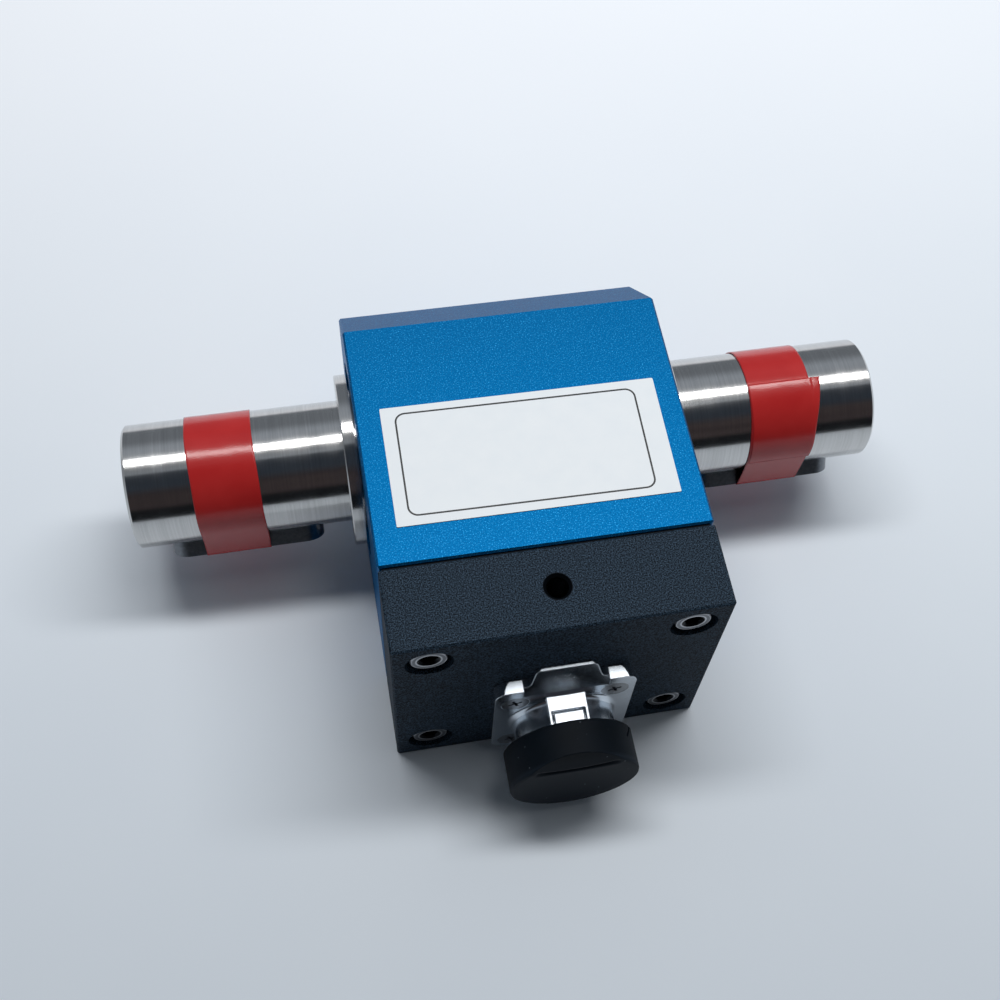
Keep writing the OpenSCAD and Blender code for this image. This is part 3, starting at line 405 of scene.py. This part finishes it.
# %% Vinyl tape
# To the eye this is a full red with a satin highlight that the ripples break up.
vinyl, tree, shader, place = start_finish("Vinyl tape, red", Roughness=0.19, Specular_IOR_Level=0.42)
ripple = put(tree, "ShaderNodeTexNoise", {"Vector": place, "Scale": per_mm(0.3), "Detail": 2})
fade = put(tree, "ShaderNodeTexNoise", {"Vector": place, "Scale": per_mm(6), "Detail": 2})
tone = put(tree, "ShaderNodeMix", data_type="RGBA", inputs={
    share: fade.outputs["Fac"], first: linear("#AC1E1F"), second: linear("#C23230")})
relief = put(tree, "ShaderNodeBump", {
    "Height": ripple.outputs["Fac"], "Strength": 0.45, "Distance": 0.03 * mm})
tree.links.new(tone.outputs[mixed], shader.inputs["Base Color"])
tree.links.new(relief.outputs["Normal"], shader.inputs["Normal"])
print(vinyl.name)

# %% [markdown]
# ## Label film
# The rating label is white polyester film. Only its thin printed frame is drawn, and the middle
# stays blank. The film has a faint mottle from the adhesive below it.

# %% Label film and printing ink
# To the eye the film is a clean white, a little glossier than paper, and the ink a dull black.
film, tree, shader, place = start_finish("Polyester label film, white", Roughness=0.4)
mottle = put(tree, "ShaderNodeTexNoise", {"Vector": place, "Scale": per_mm(3), "Detail": 3})
tone = put(tree, "ShaderNodeMix", data_type="RGBA", inputs={
    share: mottle.outputs["Fac"], first: linear("#E8EEF2"), second: linear("#F0F4F6")})
tree.links.new(tone.outputs[mixed], shader.inputs["Base Color"])
ink, tree, shader, place = start_finish("Printing ink, black", Roughness=0.45)
wear = put(tree, "ShaderNodeTexNoise", {"Vector": place, "Scale": per_mm(0.5), "Detail": 2})
tone = put(tree, "ShaderNodeMix", data_type="RGBA", inputs={
    share: wear.outputs["Fac"], first: linear("#0E0F11"), second: linear("#26282B")})
tree.links.new(tone.outputs[mixed], shader.inputs["Base Color"])
print(film.name, "and", ink.name)

# %% [markdown]
# ## Cover screws
# The screw heads get painted highlights on both their rims and painted shade, nearly black, in and round the
# socket. The four heads stand in the corners of a rectangle, so the place is mirrored into one corner and its
# distance from that screw's axis tells where the rims are. All heads face the front, so the depth along Y
# tells how far a point lies inside its socket.

# %% Screw steel, dark in the sockets
# To the eye this is a dull grey with two bright rims round a dark socket: the rims are painted highlights and
# the socket painted shade.
low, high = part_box("cover_screws")
middle = (low + high) / 2
head_radius = 2.75 * mm
one_axis = Vector((high.x - middle.x - head_radius, 0, high.z - middle.z - head_radius))
painted_shade_colour = linear("#17191C")
screw, tree, shader, place = start_finish("Alloy steel screw, dull", Metallic=1.0, Roughness=0.36)
patch = put(tree, "ShaderNodeTexNoise", {"Vector": place, "Scale": per_mm(0.3), "Detail": 3})
tone = put(tree, "ShaderNodeMix", data_type="RGBA", inputs={
    share: patch.outputs["Fac"], first: linear("#5C5F64"), second: linear("#7C7F84")})
centred = put(tree, "ShaderNodeVectorMath", {0: place, 1: middle}, operation="SUBTRACT")
corner = put(tree, "ShaderNodeVectorMath", {0: centred.outputs[0]}, operation="ABSOLUTE")
flat = put(tree, "ShaderNodeVectorMath", {0: corner.outputs[0], 1: (1, 0, 1)}, operation="MULTIPLY")
away = put(tree, "ShaderNodeVectorMath", {0: flat.outputs[0], 1: one_axis}, operation="DISTANCE")
reach = away.outputs["Value"]
# Painted highlights: both rims of each head are painted bright.
inner = put(tree, "ShaderNodeMapRange", {"Value": reach, "From Min": 2.05 * mm, "From Max": 1.9 * mm})
outer = put(tree, "ShaderNodeMapRange", {"Value": reach, "From Min": 2.4 * mm, "From Max": 2.6 * mm})
rims = put(tree, "ShaderNodeMath", {0: inner.outputs[0], 1: outer.outputs[0]}, operation="MAXIMUM")
rims_painted_highlight = put(tree, "ShaderNodeMix", data_type="RGBA", inputs={
    share: rims.outputs[0], first: tone.outputs[mixed], second: linear("#C4C6CA")})
# Painted shade: the socket and a ring round it are painted nearly black.
socket = put(tree, "ShaderNodeMapRange", {"Value": reach, "From Min": 1.8 * mm, "From Max": 1.7 * mm})
socket_painted_shade = put(tree, "ShaderNodeMix", data_type="RGBA", inputs={
    share: socket.outputs[0], first: rims_painted_highlight.outputs[mixed], second: painted_shade_colour})
depth = put(tree, "ShaderNodeSeparateXYZ", {"Vector": place})
# Painted shade: points deeper inside the socket are painted nearly black.
inside = put(tree, "ShaderNodeMapRange", {
    "Value": depth.outputs["Y"], "From Min": low.y + 0.15 * mm, "From Max": low.y + 0.5 * mm})
depth_painted_shade = put(tree, "ShaderNodeMix", data_type="RGBA", inputs={
    share: inside.outputs[0], first: socket_painted_shade.outputs[mixed], second: painted_shade_colour})
relief = put(tree, "ShaderNodeBump", {
    "Height": patch.outputs["Fac"], "Strength": 0.15, "Distance": 0.03 * mm})
tree.links.new(depth_painted_shade.outputs[mixed], shader.inputs["Base Color"])
tree.links.new(relief.outputs["Normal"], shader.inputs["Normal"])
print(screw.name, "round an axis at", in_mm(one_axis), "mm from the middle")

# %% [markdown]
# ## Smaller finishes
# The keys, bearings, springs, the connector's screws and the electric parts inside are simpler:
# each has its own colour, a slightly darker shade of it in patches, and a fine relief. One
# recipe serves them all. Its numbers are the metal share, the roughness, the grain in
# millimetres and, where the usual relief is too weak, the strength of the relief.

# %% One recipe for the small parts
def small_finish(name, pale, deep, metallic, roughness, grain, relief=0.1):
    """A finish that gives the eye one plain colour with faint patches."""
    material, tree, shader, place = start_finish(name, Metallic=metallic, Roughness=roughness)
    patch = put(tree, "ShaderNodeTexNoise", {"Vector": place, "Scale": per_mm(grain), "Detail": 3})
    tone = put(tree, "ShaderNodeMix", data_type="RGBA", inputs={
        share: patch.outputs["Fac"], first: linear(deep), second: linear(pale)})
    bump = put(tree, "ShaderNodeBump", {
        "Height": patch.outputs["Fac"], "Strength": relief, "Distance": 0.1 * grain * mm})
    tree.links.new(tone.outputs[mixed], shader.inputs["Base Color"])
    tree.links.new(bump.outputs["Normal"], shader.inputs["Normal"])
    return material


finishes = {
    "blue_anodised": blue,
    "black_anodised": black,
    "ground_steel": steel,
    "chrome_zinc": chrome,
    "black_rubber": rubber,
    "red_tape": vinyl,
    "label_film": film,
    "key_steel": small_finish("Bright drawn key steel", "#83868B", "#5A5D62", 1.0, 0.3, 0.5, 0.2),
    "bearing_steel": small_finish("Bearing steel, hardened and ground", "#C6C8CB", "#A9ABAE", 1.0, 0.16, 0.6),
    "cage_brass": small_finish("Pressed brass", "#C9A55C", "#A98440", 1.0, 0.3, 0.8),
    "spring_steel": small_finish("Spring steel, phosphated", "#5A5C60", "#3E4043", 1.0, 0.42, 0.4),
    "screw_steel": screw,
    "zinc_screw": small_finish("Zinc plated screw steel", "#B4B7BB", "#8E9195", 1.0, 0.3, 0.3, 0.15),
    "black_insulator": small_finish("Glass filled nylon, black", "#1C1E21", "#121416", 0.0, 0.5, 0.5, 0.2),
    "gold_contact": small_finish("Gold plated contact", "#E0BC6C", "#C79E4E", 1.0, 0.2, 0.5),
    "spring_bronze": small_finish("Phosphor bronze", "#C08C58", "#9C6C40", 1.0, 0.28, 0.5),
    "silver_graphite": small_finish("Silver graphite brush", "#6E6C6A", "#4C4A49", 0.6, 0.5, 0.3, 0.2),
    "board_green": small_finish("Glass epoxy board, green", "#1F6B45", "#175236", 0.0, 0.42, 0.7),
    "wire_red": small_finish("Wire insulation, red", "#A8392E", "#8A2A22", 0.0, 0.42, 0.6),
    "gauge_film": small_finish("Strain gauge film, amber", "#C08A3A", "#9C6A26", 0.0, 0.35, 0.6),
}
for part in frame["record"]["subparts"]:
    solids[part["node"]].data.materials.clear()
    solids[part["node"]].data.materials.append(finishes[part["material_slot"]])
print(len(finishes), "finishes on", len(solids), "solids")

# %% [markdown]
# ## Label and its frame line
# The label is a thin film with sharp corners, stuck on a trifle askew, and a thin line with
# round corners is printed on it, turned a little more than the film. The line could be painted
# by the material, but a line this thin keeps its edge better as a strip of its own. Both start
# as a flat rectangle whose corners are rounded by a bevel. The line is inset so that only its
# narrow rim is left, and both then get a thickness, which closes their meshes.

# %% Stick the label on and print the line
low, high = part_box("label")
film_top = high.z
line_width, ink_proud, ink_depth = 0.28 * mm, 0.01 * mm, 0.02 * mm


def cut_rectangle(width, height, corner, centre, turn):
    """A flat rectangle with round corners, laid on top of the label's place."""
    cut = bmesh.new()
    bmesh.ops.create_grid(cut, x_segments=1, y_segments=1, size=0.5)
    bmesh.ops.scale(cut, verts=cut.verts, vec=(width * mm, height * mm, 1))
    bmesh.ops.bevel(cut, geom=cut.verts[:], offset=corner * mm, segments=8, profile=0.5,
                    affect="VERTICES", material=-1)
    lay = Matrix.Translation((centre[0] * mm, centre[1] * mm, film_top))
    bmesh.ops.transform(cut, matrix=lay @ Matrix.Rotation(math.radians(turn), 4, "Z"), verts=cut.verts)
    return cut


def thicken(mesh, depth):
    """Gives a flat cut its thickness, downwards."""
    under = bmesh.ops.extrude_face_region(mesh, geom=mesh.faces[:])["geom"]
    under = [v for v in under if isinstance(v, bmesh.types.BMVert)]
    bmesh.ops.translate(mesh, vec=(0, 0, -depth), verts=under)
    bmesh.ops.recalc_face_normals(mesh, faces=mesh.faces)


cut = cut_rectangle(width=42.6, height=20.5, corner=0.2, centre=(0.05, -14.9), turn=-0.4)
thicken(cut, high.z - low.z)
label_sheet = finished_object("label_sheet", cut, film)
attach(label_sheet, "housing")
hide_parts("label")

line = cut_rectangle(width=37.3, height=17.9, corner=1.6, centre=(-0.64, -14.86), turn=-0.75)
printed = bmesh.ops.inset_region(line, faces=line.faces[:], thickness=line_width, use_even_offset=True,
                                 use_boundary=True)["faces"]
bmesh.ops.delete(line, geom=[f for f in line.faces if f not in printed], context="FACES")
bmesh.ops.translate(line, vec=(0, 0, ink_proud), verts=line.verts)
thicken(line, ink_depth)
frame_line = finished_object("label_frame_line", line, ink)
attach(frame_line, "housing")
print("label", in_mm(label_sheet.dimensions), "and frame line", in_mm(frame_line.dimensions), "mm")

# %% [markdown]
# ## Path of the tape
# A turn of tape holds each loose key in its groove. The tape lies on the shaft, leaves it in a
# straight line to the key's corner, crosses the key and comes back the same way. The path could
# be drawn by hand, but a band that is pulled tight leaves no choice: a short function gives its
# distance from the axis at any angle.

# %% Find the path of a tight band
low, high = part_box("shaft")
axis_height = (low.z + high.z) / 2
shaft_radius = 10 * mm
key_turn, key_half, key_reach = math.radians(236), 3 * mm, 12.5 * mm
key_corner = math.atan2(key_half, key_reach)
leave = key_corner + math.acos(shaft_radius / math.hypot(key_half, key_reach))


def taut(turn):
    """How far a band lies from the axis, drawn tight over shaft and key."""
    off = abs((turn - key_turn + math.pi) % (2 * math.pi) - math.pi)
    if off < key_corner:
        return key_reach / math.cos(off)
    return shaft_radius / math.cos(max(leave - off, 0))


print("the tape leaves the shaft", round(math.degrees(leave), 1), "degrees from the key's middle")

# %% [markdown]
# ## Winding
# A strip of grid is cut flat and wound along that path, as a hand would do it. A noise that is
# read on a circle lifts it a little here and there, and so meets itself where the turn closes.
# A modifier then gives the strip its thickness outwards, because its inner face lies on the shaft.

# %% Helpers to wind a strip
tape_thickness, air = 0.16 * mm, 0.03 * mm
ripple_height, ripple_length, ripple_circle = 0.02 * mm, 2.5 * mm, 3


def wind(mesh, steps, path):
    """Winds a flat grid; path gives the place along the shaft, the turn and the lift."""
    strip = bmesh.ops.create_grid(mesh, x_segments=40, y_segments=steps, size=0.5)
    for v in strip["verts"]:
        along, turn, lift = path(v.co.x + 0.5, v.co.y + 0.5)
        spot = (along / ripple_length, ripple_circle * math.cos(turn), ripple_circle * math.sin(turn))
        ripple = ripple_height * (1 + noise.noise(spot))
        reach = taut(turn) + air + lift + ripple
        v.co = (along, reach * math.cos(turn), axis_height + reach * math.sin(turn))


def close_seams(mesh, gap=0.001 * mm):
    """Merges points that meet and turns all faces outwards."""
    bmesh.ops.remove_doubles(mesh, verts=mesh.verts, dist=gap)
    bmesh.ops.recalc_face_normals(mesh, faces=mesh.faces)


def shade_round(mesh, crisp=180):
    """Shades the faces smooth and keeps edges crisp that turn by this many degrees or more."""
    for f in mesh.faces:
        f.smooth = True
    for e in mesh.edges:
        e.smooth = e.calc_face_angle(0) < math.radians(crisp)


def tape_piece(name, mesh, node):
    """Closes a wound strip, gives it its thickness and puts it in the place of a packed tape."""
    close_seams(mesh, 0.01 * mm)
    shade_round(mesh)
    piece = finished_object(name, mesh, vinyl)
    wall = piece.modifiers.new("thickness", "SOLIDIFY")
    wall.thickness, wall.offset = tape_thickness, 1
    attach(piece, "shaft")
    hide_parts(node)
    return piece


print("tape of", round(tape_thickness / mm, 2), "mm")

# %% [markdown]
# ## Two tapes
# Each tape wavers a little along its turn. The right one ends in a loose end that was laid down
# slightly askew: past the edge of the layer below it drops towards the shaft, which leaves a
# faint ridge, and its corner curls up. Places and lengths in these paths are in millimetres.

# %% Wind the tapes
left_start, left_width = -51.6, 10.5
right_start, right_width = 39.9, 10.6
loose_start, loose_width, loose_skew = 40.02, 10.7, 1.7
# The loose end starts at so many degrees round the shaft and joins its turn so many further on.
end_turn, end_sweep = 98, 86
# It lies a layer high, loses this share of it over the width of the drop, and curls by so much.
layer, drop, drop_width, curl = 0.2, 0.8, 0.5, 0.12


def left_turn(across, along):
    """The left tape, whose edges waver by a quarter of a millimetre."""
    turn = 2 * math.pi * along
    waver = 0.25 * math.cos(turn) + 0.05 * math.sin(5 * turn)
    return (left_start + left_width * across - waver) * mm, turn, 0


def right_waver(turn):
    """How far the right tape strays along the shaft."""
    return 0.2 * math.cos(turn - 0.6) + 0.05 * math.sin(4 * turn)


def right_turn(across, along):
    """The right tape's full turn."""
    turn = 2 * math.pi * along
    return (right_start + right_width * across + right_waver(turn)) * mm, turn, 0


def loose_end(across, along):
    """The right tape's loose end, on top of its turn."""
    turn = math.radians(end_turn + end_sweep * along)
    skew = loose_skew * (1 - along) ** 1.5 + 0.1 * math.sin(9 * along)
    place = loose_start + (loose_width + skew) * across
    edge_below = right_start + right_width + right_waver(turn)
    past_edge = min(max((place - edge_below) / drop_width, 0), 1)
    lift = layer * (1 - along) * (1 - drop * past_edge) + curl * across ** 6 * math.exp(-40 * along)
    return place * mm, turn, lift * mm


roll = bmesh.new()
wind(roll, 240, left_turn)
tape_left = tape_piece("tape_left_wound", roll, "tape_left")
roll = bmesh.new()
wind(roll, 240, right_turn)
wind(roll, 60, loose_end)
tape_right = tape_piece("tape_right_wound", roll, "tape_right")
print("tapes", in_mm(tape_left.dimensions), in_mm(tape_right.dimensions), "mm")

# %% [markdown]
# ## Collars
# A steel collar closes each bearing and turns with the shaft. The solids give it the bearing's
# full width, but the real one is slimmer, so a turned piece takes its place: the corners of half
# its section are drawn and spun round the shaft's axis, as a lathe would cut it. Its edges stay
# crisp because only the round faces are shaded smooth.

# %% Turn the collars
bore, hub, rim, chamfer = 10.02, 11.6, 14.1, 0.18
inner_face, step_face, outer_face = 22.8, 25.3, 27.2


def turn_collar(name, node, side):
    """Spins the section of a collar; a corner is a place along the shaft and a radius."""
    ring = bmesh.new()
    section = ((inner_face, bore), (inner_face, hub), (step_face, hub), (step_face, rim),
               (outer_face - chamfer, rim), (outer_face, rim - chamfer), (outer_face, bore))
    corners = [ring.verts.new((side * x * mm, 0, axis_height + reach * mm)) for x, reach in section]
    edges = [ring.edges.new(pair) for pair in zip(corners, corners[1:] + corners[:1])]
    bmesh.ops.spin(ring, geom=corners + edges, cent=(0, 0, axis_height), axis=(1, 0, 0),
                   angle=2 * math.pi, steps=144, use_merge=True)
    close_seams(ring)
    shade_round(ring, crisp=30)
    collar = finished_object(name, ring, steel)
    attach(collar, "shaft")
    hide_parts(node)
    return collar


collar_left = turn_collar("collar_left_turned", "collar_left", -1)
collar_right = turn_collar("collar_right_turned", "collar_right", 1)
print("collars", in_mm(collar_left.dimensions), in_mm(collar_right.dimensions), "mm")

# %% [markdown]
# ## Dust cap
# The cap is pressed over the connector's mouth. The top of its end is slanted, and a deep
# crease for the fingernail divides the slant from the end face below, which is faintly dished.
# Turning alone can't give these, so half a section is spun with many fine rings on the end, and
# the rings' points are then pressed in to shape.

# %% Spin the cap
low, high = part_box("dust_cap")
middle = (low + high) / 2
skin, cavity, skirt, lip = 1.4, 9.0, 10.2, 0.3
cap_depth = (high.y - low.y) / mm
ring_depth, edge_round, edge_middle = 1.8, 0.4, 0.12
drum = bmesh.new()
section = ((0, skin), (cavity, skin), (cavity, cap_depth - lip), (cavity + lip, cap_depth),
           (skirt - lip, cap_depth), (skirt, cap_depth - lip), (skirt, ring_depth), (skirt, edge_round),
           (skirt - edge_middle, edge_middle), (skirt - edge_round, 0), (0, 0))
corners = [drum.verts.new((middle.x, low.y + y * mm, middle.z + reach * mm)) for reach, y in section]
edges = [drum.edges.new(pair) for pair in zip(corners, corners[1:])]
skirt_edge, end_edge = edges[6], edges[9]
bmesh.ops.subdivide_edges(drum, edges=[skirt_edge], cuts=6)
bmesh.ops.subdivide_edges(drum, edges=[end_edge], cuts=48)
bmesh.ops.spin(drum, geom=drum.verts[:] + drum.edges[:], cent=middle, axis=(0, 1, 0),
               angle=2 * math.pi, steps=200, use_merge=True)
close_seams(drum)
print("cap spun with", len(drum.verts), "points")

# %% [markdown]
# ## Slant, crease and dish
# A mould has these three forms cut into it. Here each is a short formula for how far back a
# point of the end lies: a straight slope with a soft start, a groove that runs out at both its
# ends, and a shallow bowl below the groove. They count in millimetres from the cap's middle.

# %% Press the cap's end to shape
crease_height, crease_tilt, crease_bow = 5.6, 0.03, 0.025
slant_slope, slant_blend = 0.14, 0.2
crease_depth, crease_half, crease_width = 0.9, 6.6, 0.36
dish_depth, dish_radius = 0.3, 8.4
end_reach, skirt_reach, skirt_inside = 1.3 * mm, 2 * mm, 9.5 * mm


def press(v):
    """Where a point of the cap's end lies after the slant, the crease and the dish are pressed in."""
    across, up, back = (v.co.x - middle.x) / mm, (v.co.z - middle.z) / mm, (v.co.y - low.y) / mm
    above = up - crease_height - crease_tilt * across - crease_bow * across ** 2
    back = max(back, slant_slope * (above + math.hypot(above, slant_blend)))
    run_out = math.sqrt(max(1 - (across / crease_half) ** 2, 0))
    back += crease_depth * run_out * math.exp(-(above / crease_width) ** 2)
    if above < 0:
        back += dish_depth * max(1 - (math.hypot(across, up) / dish_radius) ** 2, 0)
    return low.y + back * mm


for v in drum.verts:
    on_end = v.co.y < low.y + end_reach
    on_skirt = (v.co - middle).xz.length > skirt_inside and v.co.y < low.y + skirt_reach
    if on_end or on_skirt:
        v.co.y = press(v)
shade_round(drum, crisp=40)
dust_cap = finished_object("dust_cap_moulded", drum, rubber)
print("cap pressed,", in_mm(dust_cap.dimensions), "mm")

# %% [markdown]
# ## Slit in the skirt
# A short slanted slit in the skirt lets the air out when the cap is pushed on. It is cut with a
# thin block, as a blade would do it: a Boolean modifier takes the block away, and its result
# becomes the cap's mesh, so that the block can go.

# %% Cut the slit
slit_turn, slit_lean = math.radians(20), math.radians(-45)
slit_reach, slit_lift = 9.6 * mm, 1.2 * mm
blade = Vector((3.6, 0.35, 4.4)) * mm
knife = bmesh.new()
stand = Matrix.Translation((middle.x, high.y, middle.z)) @ Matrix.Rotation(math.radians(90), 4, "X")
stand = stand @ Matrix.Rotation(slit_turn, 4, "Z") @ Matrix.Translation((slit_reach, 0, 0))
stand = stand @ Matrix.Rotation(slit_lean, 4, "X") @ Matrix.Translation((0, 0, slit_lift))
bmesh.ops.create_cube(knife, size=1, matrix=stand @ Matrix.Diagonal((*blade, 1)))
cutter = finished_object("slit_cutter", knife, rubber)
slit = dust_cap.modifiers.new("slit", "BOOLEAN")
slit.object = cutter
cut_shape = bpy.data.meshes.new_from_object(dust_cap.evaluated_get(bpy.context.evaluated_depsgraph_get()))
dust_cap.modifiers.clear()
dust_cap.data = cut_shape
bpy.data.objects.remove(cutter)
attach(dust_cap, "cap")
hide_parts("dust_cap")
print("cap", in_mm(dust_cap.dimensions), "mm,", len(cut_shape.polygons), "faces")

# %% [markdown]
# ## Threads in the tapped holes
# The hole on top and the four in the base are tapped for machine screws. The solids have plain
# holes, so a fine ridge is wound inside each: a small triangle is spun round the hole's axis
# while it also moves along it, which is what a tap does. A face at each end closes the ridge.

# %% Cut the threads
pitch, core, ridge_height, steps_a_turn = 0.7 * mm, 1.64 * mm, 0.16 * mm, 40
ridge_from, ridge_top, ridge_to = 0.1 * pitch, 0.5 * pitch, 0.9 * pitch
thread_inset, base_hole_x, base_hole_z = 0.5 * mm, 18 * mm, 8 * mm
cover_top, base_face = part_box("cover")[1].z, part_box("body_housing")[1].y


def tap(mesh, mouth, axis, turns):
    """Winds one ridge from the mouth inwards along the axis."""
    side = axis.orthogonal().normalized()
    outline = ((core, ridge_from), (core, ridge_to), (core - ridge_height, ridge_top))
    profile = [mesh.verts.new(mouth + side * reach + axis * along) for reach, along in outline]
    edges = [mesh.edges.new((profile[a], profile[b])) for a, b in ((0, 2), (2, 1), (1, 0))]
    wound = bmesh.ops.spin(mesh, geom=profile + edges, cent=mouth, axis=axis, angle=2 * math.pi * turns,
                           dvec=axis * pitch / steps_a_turn, steps=steps_a_turn * turns)
    mesh.faces.new(profile)
    mesh.faces.new([v for v in wound["geom_last"] if isinstance(v, bmesh.types.BMVert)])


ridges = bmesh.new()
tap(ridges, top_hole + Vector((0, 0, cover_top - thread_inset)), Vector((0, 0, -1)), turns=8)
for x in (-base_hole_x, base_hole_x):
    for z in (axis_height - base_hole_z, axis_height + base_hole_z):
        tap(ridges, Vector((x, base_face - thread_inset, z)), Vector((0, -1, 0)), turns=7)
bmesh.ops.recalc_face_normals(ridges, faces=ridges.faces)
# The threads' dark colour is painted shade inside the holes.
tapped = small_finish("Tapped aluminium, painted shade", "#3E4247", "#202327", 1.0, 0.3, 0.3)
threads = finished_object("screw_threads", ridges, tapped)
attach(threads, "housing")
print("threads", len(threads.data.polygons), "faces")
